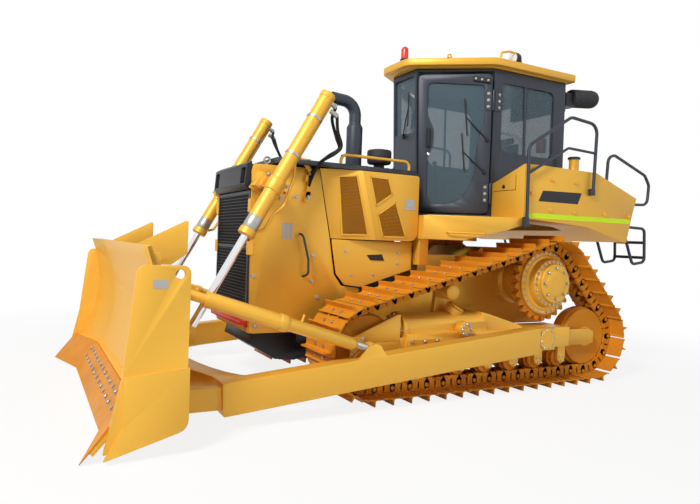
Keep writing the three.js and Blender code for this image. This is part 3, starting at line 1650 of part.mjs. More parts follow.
const extent = new THREE.Box3().setFromObject(machine);
machine.position.x = -(extent.min.x + extent.max.x) / 2;
export default machine;
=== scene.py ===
"""Looks of the crawler bulldozer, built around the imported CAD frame."""

import json
import logging
import math
from collections.abc import Iterable, Sequence
from dataclasses import dataclass, field
from enum import Enum

import bmesh
import bpy
from mathutils import Matrix, Vector

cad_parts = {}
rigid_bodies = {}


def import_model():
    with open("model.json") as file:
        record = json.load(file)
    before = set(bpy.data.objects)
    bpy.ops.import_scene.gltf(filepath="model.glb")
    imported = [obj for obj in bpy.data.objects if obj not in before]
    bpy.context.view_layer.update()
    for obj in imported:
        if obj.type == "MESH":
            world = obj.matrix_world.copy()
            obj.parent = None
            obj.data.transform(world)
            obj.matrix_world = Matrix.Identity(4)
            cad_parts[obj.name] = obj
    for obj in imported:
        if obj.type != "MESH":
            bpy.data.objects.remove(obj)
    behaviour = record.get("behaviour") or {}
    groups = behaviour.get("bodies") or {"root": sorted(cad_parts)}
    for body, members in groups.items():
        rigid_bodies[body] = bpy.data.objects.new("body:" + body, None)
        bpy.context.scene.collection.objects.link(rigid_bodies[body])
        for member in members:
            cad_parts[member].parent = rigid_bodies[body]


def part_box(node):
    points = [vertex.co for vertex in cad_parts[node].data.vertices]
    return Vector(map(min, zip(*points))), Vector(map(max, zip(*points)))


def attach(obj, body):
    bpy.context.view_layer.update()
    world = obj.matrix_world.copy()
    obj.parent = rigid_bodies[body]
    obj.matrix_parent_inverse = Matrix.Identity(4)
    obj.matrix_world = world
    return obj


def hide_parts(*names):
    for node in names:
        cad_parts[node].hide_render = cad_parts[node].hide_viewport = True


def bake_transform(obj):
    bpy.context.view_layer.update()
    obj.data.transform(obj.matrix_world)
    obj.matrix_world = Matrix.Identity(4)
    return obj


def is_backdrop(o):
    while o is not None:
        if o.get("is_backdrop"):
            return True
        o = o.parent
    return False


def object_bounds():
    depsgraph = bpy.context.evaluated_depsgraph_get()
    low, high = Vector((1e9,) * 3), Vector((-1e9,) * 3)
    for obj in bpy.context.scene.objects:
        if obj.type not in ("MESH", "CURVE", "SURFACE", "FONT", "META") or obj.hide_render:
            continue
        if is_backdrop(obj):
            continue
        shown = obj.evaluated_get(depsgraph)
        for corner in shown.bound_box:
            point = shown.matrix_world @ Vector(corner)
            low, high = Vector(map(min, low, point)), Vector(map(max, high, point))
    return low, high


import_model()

LOG = logging.getLogger("bulldozer")
Point = tuple[float, float, float]
Outline = list[tuple[float, float]]
Spot = tuple[Vector, Vector]
CAD_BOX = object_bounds()
POLE = 0.0004
EDGE_ANGLE = 32.0
WELD_GAP = 0.0001
SPIN_SEED = 7
TUBE_SIDES = 16
UP = Vector((0, 0, 1))
ACROSS = Vector((0, 1, 0))
AHEAD = Vector((1, 0, 0))


def middle(node: str) -> Vector:
    """The middle of a CAD node's box."""
    low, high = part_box(node)
    return (low + high) / 2


FRONT_WHEEL_STATION = 0.13
DATUM_X = middle("front_idler_left").x - FRONT_WHEEL_STATION


def at(x: float, y: float, z: float) -> Vector:
    """A point in the row frame, its x counted from where the front shoe meets the ground."""
    return Vector((x + DATUM_X, y, z))


class Side(Enum):
    """The two sides of the machine; the value is the sign of y."""

    LEFT = 1
    RIGHT = -1

    @property
    def word(self) -> str:
        """The side's word in node names."""
        return self.name.lower()

    @property
    def out(self) -> Vector:
        """The direction away from the machine's middle."""
        return Vector((0, self.value, 0))

    def at(self, x: float, y: float, z: float) -> Vector:
        """A point given for the left side, on this side."""
        return at(x, self.value * y, z)

    def line(self, *points: Point) -> list[Vector]:
        """Points given for the left side, on this side."""
        return [self.at(*point) for point in points]

    def span(self, near: float, far: float) -> list[float]:
        """Two distances from the middle as values of y, the lower one first."""
        return sorted((self.value * near, self.value * far))

    def spots(self, y: float, places: Iterable[tuple[float, float]]) -> list[Spot]:
        """Bolt places on a face at a distance from the middle, given in side view."""
        return [(self.at(x, y, z), self.out) for x, z in places]


# ------------------------------------------------------------------ finishes
class Pattern(Enum):
    """What a finish shows besides its patches and grain."""

    PLAIN = "plain"
    WEAVE = "weave"
    SCRATCHES = "scratches"
    MOULDED = "moulded"


class Graph:
    """A material's node tree, built with short calls."""

    def __init__(self, name: str) -> None:
        """Starts an empty tree.

        Args:
            name: the material's name.
        """
        self.material = bpy.data.materials.new(name)
        self.material.use_nodes = True
        self.tree = self.material.node_tree
        self.tree.nodes.clear()

    def add(self, kind: str, settings: dict | None = None, **inputs: object) -> bpy.types.Node:
        """Adds a node.

        Args:
            kind: the node's type.
            settings: properties to set on it.
            inputs: values or output sockets by input name, with _ for a space.

        Returns:
            The node.
        """
        node = self.tree.nodes.new(kind)
        for key, value in (settings or {}).items():
            setattr(node, key, value)
        for key, value in inputs.items():
            socket = node.inputs[key.replace("_", " ")]
            if isinstance(value, bpy.types.NodeSocket):
                self.tree.links.new(value, socket)
            else:
                socket.default_value = value
        return node

    def noise(self, scale: float, detail: float, low: float, high: float) -> bpy.types.NodeSocket:
        """A noise in object space, spread to a range.

        Args:
            scale: patches per metre.
            detail: octaves.
            low: the result where the noise is dark.
            high: the result where the noise is light.

        Returns:
            The value's socket.
        """
        place = self.add("ShaderNodeTexCoord").outputs["Object"]
        noise = self.add("ShaderNodeTexNoise", Vector=place, Scale=scale, Detail=detail)
        spread = self.add("ShaderNodeMapRange", Value=noise.outputs["Fac"])
        for name, value in (("From Min", 0.3), ("From Max", 0.7), ("To Min", low), ("To Max", high)):
            spread.inputs[name].default_value = value
        return spread.outputs["Result"]

    def mix(self, share: object, first: object, second: object) -> bpy.types.NodeSocket:
        """Mixes two colours.

        Args:
            share: how much of the second, a number or a socket.
            first: a colour or a socket.
            second: a colour or a socket.

        Returns:
            The colour's socket.
        """
        node = self.tree.nodes.new("ShaderNodeMix")
        node.data_type = "RGBA"
        for index, value in ((0, share), (6, first), (7, second)):
            if isinstance(value, bpy.types.NodeSocket):
                self.tree.links.new(value, node.inputs[index])
            else:
                node.inputs[index].default_value = value
        return node.outputs[2]


def shade(color: Point, factor: float) -> tuple[float, float, float, float]:
    """A colour made lighter or darker."""
    return (*(min(channel * factor, 1.0) for channel in color), 1.0)


@dataclass(frozen=True)
class Finish:
    """One finish: a paint, metal, rubber, plastic, cloth or glass."""

    name: str
    slot: str
    color: Point
    roughness: float = 0.4
    metallic: float = 0.0
    patch: float = 0.07
    dust: float = 0.1
    grain: float = 0.1
    grain_scale: float = 260.0
    coat: float = 0.0
    specular: float = 0.15
    alpha: float = 1.0
    glow: float = 0.0
    pattern: Pattern = Pattern.PLAIN
    dust_color: Point = (0.36, 0.25, 0.13)

    def material(self) -> bpy.types.Material:
        """The finish's material, made on first use.

        Returns:
            The material.
        """
        found = bpy.data.materials.get(self.name)
        if found:
            return found
        graph = Graph(self.name)
        patches = graph.noise(1.7, 4.0, 0.0, 1.0)
        color = graph.mix(patches, shade(self.color, 1 - self.patch), shade(self.color, 1 + self.patch))
        specks = graph.noise(9.0, 9.0, -0.6, 1.0)
        share = graph.add("ShaderNodeMath", {"operation": "MULTIPLY", "use_clamp": True})
        graph.tree.links.new(specks, share.inputs[0])
        share.inputs[1].default_value = self.dust
        color = graph.mix(share.outputs[0], color, (*self.dust_color, 1.0))
        rough = graph.noise(13.0, 6.0, self.roughness * 0.85, min(self.roughness * 1.25, 1.0))
        height = graph.noise(self.grain_scale, 2.0, 0.0, 1.0)
        color, height = self._patterned(graph, color, height)
        bump = graph.add("ShaderNodeBump", Strength=self.grain, Distance=0.002, Height=height)
        shader = graph.add(
            "ShaderNodeBsdfPrincipled", Base_Color=color, Roughness=rough, Metallic=self.metallic,
            Alpha=self.alpha, Coat_Weight=self.coat, Coat_Roughness=0.18, Specular_IOR_Level=self.specular,
            Normal=bump.outputs["Normal"],
        )
        # Emission in the finish's own colour: the lamp's light on the beacon's lens, painted glow on the
        # stripe, which is no lamp.
        if self.glow:
            shader.inputs["Emission Color"].default_value = (*self.color, 1.0)
            shader.inputs["Emission Strength"].default_value = self.glow
        output = graph.add("ShaderNodeOutputMaterial")
        graph.tree.links.new(shader.outputs["BSDF"], output.inputs["Surface"])
        return graph.material

    def _patterned(
        self, graph: Graph, color: bpy.types.NodeSocket, height: bpy.types.NodeSocket
    ) -> tuple[bpy.types.NodeSocket, bpy.types.NodeSocket]:
        """Adds the finish's pattern to its colour and height.

        Args:
            graph: the material's tree.
            color: the colour so far.
            height: the height so far.

        Returns:
            The colour and the height.
        """
        place = graph.add("ShaderNodeTexCoord").outputs["Object"]
        if self.pattern is Pattern.WEAVE:
            wave = graph.add("ShaderNodeTexWave", Vector=place, Scale=160.0, Distortion=0.6)
            return graph.mix(wave.outputs["Fac"], shade(self.color, 0.5), color), wave.outputs["Fac"]
        if self.pattern is Pattern.SCRATCHES:
            stretched = graph.add("ShaderNodeMapping", Vector=place, Scale=(40.0, 40.0, 900.0))
            lines = graph.add("ShaderNodeTexNoise", Vector=stretched.outputs[0], Scale=1.0, Detail=3.0)
            return graph.mix(lines.outputs["Fac"], shade(self.color, 0.75), color), lines.outputs["Fac"]
        if self.pattern is Pattern.MOULDED:
            cells = graph.add("ShaderNodeTexVoronoi", Vector=place, Scale=420.0)
            return color, cells.outputs["Distance"]
        return color, height


class Coat(Enum):
    """Every finish on the machine."""

    YELLOW = Finish("yellow_paint", "yellow_paint", (0.8, 0.288, 0.012), 0.42, coat=0.02, specular=0.08)
    WORN = Finish("worn_yellow", "yellow_paint", (0.74, 0.285, 0.016), 0.46, dust=0.18, patch=0.1)
    SLATE = Finish("slate_paint", "slate_paint", (0.024, 0.034, 0.054), 0.45, dust=0.03, specular=0.08)
    BLACK = Finish("black_paint", "black_paint", (0.012, 0.012, 0.014), 0.5, dust=0.05)
    RED = Finish("red_paint", "red_paint", (0.55, 0.02, 0.015), 0.35, dust=0.04, coat=0.3)
    STEEL = Finish(
        "bare_steel", "bare_steel", (0.46, 0.45, 0.43), 0.34, 1.0, dust=0.08, pattern=Pattern.SCRATCHES
    )
    CHROME = Finish("chrome", "chrome", (0.82, 0.84, 0.86), 0.07, 1.0, patch=0.02, dust=0.0, grain=0.01)
    GLASS = Finish(
        "tinted_glass", "tinted_glass", (0.015, 0.045, 0.075), 0.03, patch=0.02, dust=0.0, grain=0.0,
        specular=0.1, alpha=0.36,
    )
    LENS = Finish("red_lens", "red_lens", (0.8, 0.03, 0.015), 0.18, dust=0.0, coat=0.6, glow=0.25)
    CLOTH = Finish(
        "seat_fabric", "seat_fabric", (0.035, 0.037, 0.042), 0.85, grain=0.5, pattern=Pattern.WEAVE
    )
    PLASTIC = Finish(
        "black_plastic", "black_plastic", (0.018, 0.018, 0.02), 0.55, grain=0.3, pattern=Pattern.MOULDED
    )
    RUBBER = Finish("hose_rubber", "black_plastic", (0.014, 0.015, 0.018), 0.6, dust=0.06, grain=0.3)
    # The stripe's glow is painted light on top of its bright paint; the stripe is no lamp.
    STRIPE = Finish("bright_stripe", "yellow_paint", (0.68, 0.95, 0.03), 0.4, dust=0.0, patch=0.03, glow=0.12)
    PLATE = Finish("blank_plate", "bare_steel", (0.45, 0.46, 0.47), 0.45, 0.3, dust=0.05)
    LAMP = Finish("lamp_glass", "chrome", (0.8, 0.82, 0.85), 0.12, 0.4, dust=0.0)
    DARK = Finish("shadow_gap", "black_paint", (0.006, 0.005, 0.005), 0.8, dust=0.0)


# ------------------------------------------------------------------ node trees
class Tree:
    """A Geometry Nodes tree with named inputs."""

    def __init__(self, name: str, inputs: dict[str, str]) -> None:
        """Starts a tree.

        Args:
            name: the tree's name.
            inputs: socket types by input name, besides the geometry.
        """
        self.tree = bpy.data.node_groups.new(name, "GeometryNodeTree")
        face = self.tree.interface
        face.new_socket("Geometry", in_out="INPUT", socket_type="NodeSocketGeometry")
        face.new_socket("Geometry", in_out="OUTPUT", socket_type="NodeSocketGeometry")
        self.ids = {
            key: face.new_socket(key, in_out="INPUT", socket_type=kind).identifier
            for key, kind in inputs.items()
        }
        self.start = self.tree.nodes.new("NodeGroupInput")
        self.end = self.tree.nodes.new("NodeGroupOutput")

    def add(self, kind: str, settings: dict | None = None) -> bpy.types.Node:
        """Adds a node with some properties set.

        Args:
            kind: the node's type.
            settings: properties to set on it.

        Returns:
            The node.
        """
        node = self.tree.nodes.new(kind)
        for key, value in (settings or {}).items():
            setattr(node, key, value)
        return node

    def link(self, source: bpy.types.Node, output: object, target: bpy.types.Node, socket: object) -> None:
        """Links an output to an input, each by name or number."""
        self.tree.links.new(source.outputs[output], target.inputs[socket])

    def finish(self, source: bpy.types.Node, output: object) -> None:
        """Ends the tree: real meshes, with the material set.

        Args:
            source: the last node that makes geometry.
            output: its output.
        """
        real = self.add("GeometryNodeRealizeInstances")
        paint = self.add("GeometryNodeSetMaterial")
        self.link(source, output, real, 0)
        self.link(real, 0, paint, 0)
        self.link(self.start, "Material", paint, "Material")
        self.link(paint, 0, self.end, 0)

    def run(self, carrier: bpy.types.Mesh, values: dict[str, object]) -> bpy.types.Mesh:
        """Runs the tree on a mesh.

        Args:
            carrier: the mesh that the tree reads.
            values: the value of each named input.

        Returns:
            The plain mesh that comes out.
        """
        holder = bpy.data.objects.new("carrier", carrier)
        bpy.context.scene.collection.objects.link(holder)
        modifier = holder.modifiers.new("nodes", "NODES")
        modifier.node_group = self.tree
        for key, value in values.items():
            modifier[self.ids[key]] = value
        graph = bpy.context.evaluated_depsgraph_get()
        made = bpy.data.meshes.new_from_object(holder.evaluated_get(graph), depsgraph=graph)
        bpy.data.objects.remove(holder)
        bpy.data.meshes.remove(carrier)
        return made


class Scatter(Tree):
    """Sets one piece at every point, turned by the point's `turn`."""

    def __init__(self) -> None:
        """Builds the tree."""
        super().__init__(
            "set_on_points",
            {
                "Piece": "NodeSocketObject", "Scale": "NodeSocketFloat", "Spin": "NodeSocketFloat",
                "Seed": "NodeSocketInt", "Material": "NodeSocketMaterial",
            },
        )
        piece = self.add("GeometryNodeObjectInfo", {"transform_space": "ORIGINAL"})
        turn = self.add("GeometryNodeInputNamedAttribute", {"data_type": "FLOAT_VECTOR"})
        turn.inputs["Name"].default_value = "turn"
        to_rotation = self.add("FunctionNodeEulerToRotation")
        spin = self.add("FunctionNodeRandomValue", {"data_type": "FLOAT"})
        about = self.add("FunctionNodeAxisAngleToRotation")
        turned = self.add("FunctionNodeRotateRotation", {"rotation_space": "LOCAL"})
        place = self.add("GeometryNodeInstanceOnPoints")
        self.link(self.start, "Piece", piece, "Object")
        self.link(turn, "Attribute", to_rotation, 0)
        self.link(self.start, "Spin", spin, 3)
        self.link(self.start, "Seed", spin, "Seed")
        self.link(spin, 1, about, "Angle")
        self.link(to_rotation, 0, turned, 0)
        self.link(about, 0, turned, 1)
        self.link(self.start, "Geometry", place, "Points")
        self.link(piece, "Geometry", place, "Instance")
        self.link(turned, 0, place, "Rotation")
        self.link(self.start, "Scale", place, "Scale")
        self.finish(place, "Instances")


class Tube(Tree):
    """Turns a line of edges into a round tube with bent corners."""

    def __init__(self) -> None:
        """Builds the tree."""
        super().__init__(
            "bent_tube",
            {
                "Radius": "NodeSocketFloat", "Bend": "NodeSocketFloat", "Steps": "NodeSocketInt",
                "Sides": "NodeSocketInt", "Material": "NodeSocketMaterial",
            },
        )
        line = self.add("GeometryNodeMeshToCurve")
        bend = self.add("GeometryNodeFilletCurve", {"mode": "POLY"})
        bend.inputs["Limit Radius"].default_value = True
        ring = self.add("GeometryNodeCurvePrimitiveCircle")
        skin = self.add("GeometryNodeCurveToMesh")
        skin.inputs["Fill Caps"].default_value = True
        self.link(self.start, "Geometry", line, 0)
        self.link(line, 0, bend, 0)
        self.link(self.start, "Steps", bend, "Count")
        self.link(self.start, "Bend", bend, "Radius")
        self.link(self.start, "Sides", ring, "Resolution")
        self.link(self.start, "Radius", ring, "Radius")
        self.link(bend, 0, skin, "Curve")
        self.link(ring, "Curve", skin, "Profile Curve")
        self.finish(skin, "Mesh")


SCATTER = Scatter()
TUBE = Tube()


# ------------------------------------------------------------------ mesh building
def across(point: tuple[float, float], y: float) -> Vector:
    """A side-view point [x, z] at a distance from the middle."""
    return at(point[0], y, point[1])


def axes_along(direction: Vector) -> Matrix:
    """A turn that takes +Z to a direction."""
    return direction.to_track_quat("Z", "Y").to_matrix()


class Shape:
    """A mesh that grows by closed parts, in the row frame."""

    def __init__(self) -> None:
        """Starts an empty mesh."""
        self.mesh = bmesh.new()

    def skin(self, rings: Sequence[Sequence[Vector]], closed: bool = False) -> "Shape":
        """Joins rings of equal length into one closed part.

        Args:
            rings: the rings, in order.
            closed: whether the last ring joins the first, with no caps.

        Returns:
            This shape.
        """
        rows = [[self.mesh.verts.new(p) for p in ring] for ring in rings]
        faces = []
        pairs = list(zip(rows, rows[1:] + rows[:1])) if closed else list(zip(rows, rows[1:]))
        for first, second in pairs:
            count = len(first)
            for i in range(count):
                j = (i + 1) % count
                faces.append(self.mesh.faces.new((first[i], first[j], second[j], second[i])))
        if not closed:
            faces.append(self.mesh.faces.new(rows[0][::-1]))
            faces.append(self.mesh.faces.new(rows[-1]))
        bmesh.ops.recalc_face_normals(self.mesh, faces=faces)
        return self

    def block(self, low: Vector, high: Vector) -> "Shape":
        """Adds a box between two corners.

        Args:
            low: one corner.
            high: the opposite corner.

        Returns:
            This shape.
        """
        x0, x1 = sorted((low.x, high.x))
        y0, y1 = sorted((low.y, high.y))
        z0, z1 = sorted((low.z, high.z))
        corners = ((x0, y0), (x1, y0), (x1, y1), (x0, y1))
        return self.skin([[Vector((x, y, z)) for x, y in corners] for z in (z0, z1)])

    def sheet(self, outline: Sequence[Vector], depth: Vector) -> "Shape":
        """Adds a flat plate: an outline carried along a depth."""
        return self.skin([list(outline), [p + depth for p in outline]])

    def profile(self, outline: Outline, y0: float, y1: float) -> "Shape":
        """Adds a side-view outline [x, z] carried across from y0 to y1."""
        return self.skin([[across(p, y0) for p in outline], [across(p, y1) for p in outline]])

    def bar(
        self, start: Vector, end: Vector, radius: float, sides: int = 24, tip: float | None = None
    ) -> "Shape":
        """Adds a round bar, or a cone where the tip's radius differs.

        Args:
            start: the middle of its first end.
            end: the middle of its other end.
            radius: its radius.
            sides: steps round it.
            tip: the radius at its other end, where that differs.

        Returns:
            This shape.
        """
        length = (end - start).length
        return self.turned(
            [(radius, 0.0), (radius if tip is None else tip, length)], start, end - start, sides
        )

    def turned(self, profile: Outline, start: Vector, direction: Vector, sides: int = 48) -> "Shape":
        """Adds a turned part.

        Args:
            profile: radii and stations along the axis.
            start: the axis's first point.
            direction: where the axis points.
            sides: steps round the axis.

        Returns:
            This shape.
        """
        turn = axes_along(direction)
        rings = []
        for radius, station in profile:
            size = max(radius, POLE)
            angles = [2 * math.pi * i / sides for i in range(sides)]
            rings.append(
                [start + turn @ Vector((size * math.cos(a), size * math.sin(a), station)) for a in angles]
            )
        return self.skin(rings)

    def band(self, start: Vector, axis: Vector, inner: float, outer: float, width: float) -> "Shape":
        """Adds a flat round band, open in the middle.

        Args:
            start: the centre of its first edge.
            axis: where its axis points.
            inner: its inner radius.
            outer: its outer radius.
            width: its length along the axis.

        Returns:
            This shape.
        """
        turn = axes_along(axis)
        section = ((inner, 0.0), (outer, 0.003), (outer, width - 0.003), (inner, width))
        rings = []
        for i in range(40):
            out = Vector((math.cos(math.pi * i / 20), math.sin(math.pi * i / 20), 0))
            rings.append([start + turn @ (out * radius + Vector((0, 0, along))) for radius, along in section])
        return self.skin(rings, closed=True)

    def ring(self, centre: Vector, axis: Vector, radius: float, thick: float, sides: int = 32) -> "Shape":
        """Adds a round ring, such as a lifting eye.

        Args:
            centre: its middle.
            axis: the axis that it goes round.
            radius: from its middle to its bar's middle.
            thick: its bar's radius.
            sides: steps round it.

        Returns:
            This shape.
        """
        turn = axes_along(axis)
        rings = []
        for i in range(sides):
            a = 2 * math.pi * i / sides
            out = Vector((math.cos(a), math.sin(a), 0))
            spot = [(math.cos(b), math.sin(b)) for b in (k * math.pi / 4 for k in range(8))]
            rings.append(
                [centre + turn @ (out * (radius + thick * u) + Vector((0, 0, thick * v))) for u, v in spot]
            )
        return self.skin(rings, closed=True)

    def piece(
        self, name: str, coat: Coat, body: str = "root", bevel: float = 0.0, stands_for: Iterable[str] = (),
        smooth: float = 35.0,
    ) -> bpy.types.Object:
        """Turns the mesh into a piece that rides on a body.

        Args:
            name: the piece's name.
            coat: its finish.
            body: the CAD body it moves with.
            bevel: the width of its rounded edges, or 0.
            stands_for: CAD nodes that it replaces.
            smooth: the largest angle, in degrees, that is shaded smooth.

        Returns:
            The piece.
        """
        data = bpy.data.meshes.new(name)
        self.mesh.to_mesh(data)
        self.mesh.free()
        soften(data, smooth)
        return dressed(name, data, coat, body, bevel, stands_for)


def dressed(
    name: str, data: bpy.types.Mesh, coat: Coat, body: str, bevel: float = 0.0, stands_for: Iterable[str] = ()
) -> bpy.types.Object:
    """Makes a piece from a mesh: its finish, rounded edges and body.

    Args:
        name: the piece's name.
        data: its mesh.
        coat: its finish.
        body: the CAD body it moves with.
        bevel: the width of its rounded edges, or 0.
        stands_for: CAD nodes that it replaces.

    Returns:
        The piece.
    """
    piece = bpy.data.objects.new(name, data)
    bpy.context.scene.collection.objects.link(piece)
    data.materials.clear()
    data.materials.append(coat.value.material())
    if bevel:
        round_edges(piece, bevel)
    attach(piece, body)
    if stands_for:
        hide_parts(*stands_for)
    LOG.info("piece %s on %s", name, body)
    return piece


def soften(mesh: bpy.types.Mesh, degrees: float) -> None:
    """Shades a mesh smooth, but for edges sharper than an angle."""
    mesh.shade_smooth()
    mesh.set_sharp_from_angle(angle=math.radians(degrees))


def round_edges(piece: bpy.types.Object, width: float, steps: int = 2) -> None:
    """Rounds a piece's sharp edges with a modifier.

    Args:
        piece: the piece.
        width: the rounding's width.
        steps: faces across the rounding.
    """
    rounding = piece.modifiers.new("rounding", "BEVEL")
    rounding.width = width
    rounding.segments = steps
    rounding.limit_method = "ANGLE"
    rounding.angle_limit = math.radians(EDGE_ANGLE)
    rounding.use_clamp_overlap = True
    rounding.harden_normals = True


def scattered(
    name: str, prototype: Shape, places: Sequence[tuple[Vector, Matrix]], coat: Coat, body: str = "root",
    spin: float = 0.0, scale: float = 1.0, stands_for: Iterable[str] = (), smooth: float = 35.0,
) -> bpy.types.Object:
    """Sets a prototype at many places through the scatter tree.

    Args:
        name: the piece's name.
        prototype: the shape, drawn about the origin.
        places: a point and a turn for each copy.
        coat: the finish.
        body: the CAD body that all copies ride on.
        spin: the largest random turn about each copy's own axis, in radians.
        scale: a size factor.
        stands_for: CAD nodes that the piece replaces.
        smooth: the largest angle, in degrees, that is shaded smooth.

    Returns:
        The piece.
    """
    pattern = bpy.data.meshes.new("prototype")
    prototype.mesh.to_mesh(pattern)
    prototype.mesh.free()
    source = bpy.data.objects.new("prototype", pattern)
    points = bpy.data.meshes.new("points")
    points.from_pydata([tuple(point) for point, _ in places], [], [])
    turns = points.attributes.new("turn", "FLOAT_VECTOR", "POINT")
    for index, (_, turn) in enumerate(places):
        turns.data[index].vector = turn.to_euler()
    values = {
        "Piece": source, "Scale": scale, "Spin": spin, "Seed": SPIN_SEED, "Material": coat.value.material()
    }
    made = SCATTER.run(points, values)
    bpy.data.objects.remove(source)
    made.name = name
    soften(made, smooth)
    return dressed(name, made, coat, body, stands_for=stands_for)


def tube(
    name: str, lines: Sequence[Sequence[Vector]], radius: float, coat: Coat, body: str = "root",
    bend: float = 0.1, steps: int = 6, stands_for: Iterable[str] = (),
) -> bpy.types.Object:
    """Makes bent tubes along lines of corners.

    Args:
        name: the piece's name.
        lines: the corners of each tube.
        radius: the tubes' radius.
        coat: the finish.
        body: the CAD body they ride on.
        bend: the radius of their bends.
        steps: points in each bend.
        stands_for: CAD nodes that the piece replaces.

    Returns:
        The piece.
    """
    corners = [tuple(p) for line in lines for p in line]
    edges, start = [], 0
    for line in lines:
        edges += [(start + i, start + i + 1) for i in range(len(line) - 1)]
        start += len(line)
    carrier = bpy.data.meshes.new("line")
    carrier.from_pydata(corners, edges, [])
    values = {
        "Radius": radius, "Bend": bend, "Steps": steps, "Sides": TUBE_SIDES, "Material": coat.value.material()
    }
    made = TUBE.run(carrier, values)
    made.name = name
    soften(made, 50)
    return dressed(name, made, coat, body, stands_for=stands_for)


def bolt_shape(radius: float = 0.016, height: float = 0.011) -> Shape:
    """A hexagon head on its washer, standing along +Z."""
    washer = Shape().turned([(radius * 1.35, -0.002), (radius * 1.35, 0.003)], Vector(), UP, 18)
    return washer.turned([(radius, 0.003), (radius, height), (radius * 0.8, height + 0.003)], Vector(), UP, 6)


def bolts(
    name: str, spots: Sequence[tuple[Vector, Vector]], coat: Coat = Coat.STEEL, body: str = "root",
    radius: float = 0.016,
) -> bpy.types.Object:
    """Sets bolt heads at points, each along its direction.

    Args:
        name: the piece's name.
        spots: a point and a direction for each bolt.
        coat: the finish.
        body: the CAD body they ride on.
        radius: the heads' radius.

    Returns:
        The piece.
    """
    places = [(point, axes_along(Vector(out))) for point, out in spots]
    return scattered(name, bolt_shape(radius, radius * 0.75), places, coat, body, spin=math.pi / 3, smooth=25)


def bolt_circle(
    centre: Vector, axis: Vector, radius: float, count: int, start: float = 0.0
) -> list[tuple[Vector, Vector]]:
    """Bolt places on a circle about an axis.

    Args:
        centre: the circle's middle.
        axis: its axis.
        radius: its radius.
        count: how many bolts.
        start: the first bolt's angle.

    Returns:
        A point and a direction for each bolt.
    """
    turn = axes_along(axis)
    angles = [start + 2 * math.pi * i / count for i in range(count)]
    return [(centre + turn @ Vector((radius * math.cos(a), radius * math.sin(a), 0)), axis) for a in angles]


def kept(node: str, coat: Coat, rounding: float = 0.004) -> None:
    """Gives a CAD node its finish and rounded edges.

    Args:
        node: the node's name.
        coat: its finish.
        rounding: the width of its rounded edges, or 0.
    """
    piece = bpy.data.objects[node]
    piece.data.materials.clear()
    piece.data.materials.append(coat.value.material())
    if rounding:
        weld = piece.modifiers.new("weld", "WELD")
        weld.merge_threshold = WELD_GAP
        piece.data.shade_smooth()
        round_edges(piece, rounding)


def both(node: str) -> list[str]:
    """The names of a node's two sides."""
    return [f"{node}_{side.word}" for side in Side]


# ------------------------------------------------------------------ tracks
@dataclass(frozen=True)
class Wheel:
    """A wheel that the chain runs round, in side view."""

    x: float
    z: float
    radius: float


@dataclass
class Chain:
    """The chain's pin line round its three wheels."""

    wheels: tuple[Wheel, ...]
    runs: list[tuple[Wheel, float, float, float, float]] = field(default_factory=list)
    length: float = 0.0

    def __post_init__(self) -> None:
        """Works out each wheel's arc and the straight run after it."""
        ahead = []
        for wheel, after in zip(self.wheels, self.wheels[1:] + self.wheels[:1]):
            dx, dz = after.x - wheel.x, after.z - wheel.z
            gap = math.hypot(dx, dz)
            grow = after.radius - wheel.radius
            ahead.append((wheel, math.atan2(dz, dx) - math.asin(grow / gap), math.sqrt(gap**2 - grow**2)))
        for index, (wheel, heading, straight) in enumerate(ahead):
            arrive = ahead[index - 1][1]
            turn = (heading - arrive + 4 * math.pi) % (2 * math.pi)
            self.runs.append((wheel, arrive, turn * wheel.radius, heading, straight))
            self.length += turn * wheel.radius + straight

    def place(self, distance: float) -> tuple[float, float, float]:
        """A point of the pin line.

        Args:
            distance: how far along the line.

        Returns:
            The point's x and z and the line's heading there.
        """
        rest = distance % self.length
        for wheel, arrive, arc, heading, straight in self.runs:
            if rest <= arc:
                way = arrive + rest / wheel.radius
                return wheel.x + wheel.radius * math.sin(way), wheel.z - wheel.radius * math.cos(way), way
            rest -= arc
            if rest <= straight:
                x = wheel.x + wheel.radius * math.sin(heading) + rest * math.cos(heading)
                return x, wheel.z - wheel.radius * math.cos(heading) + rest * math.sin(heading), heading
            rest -= straight
        return self.place(0.0)


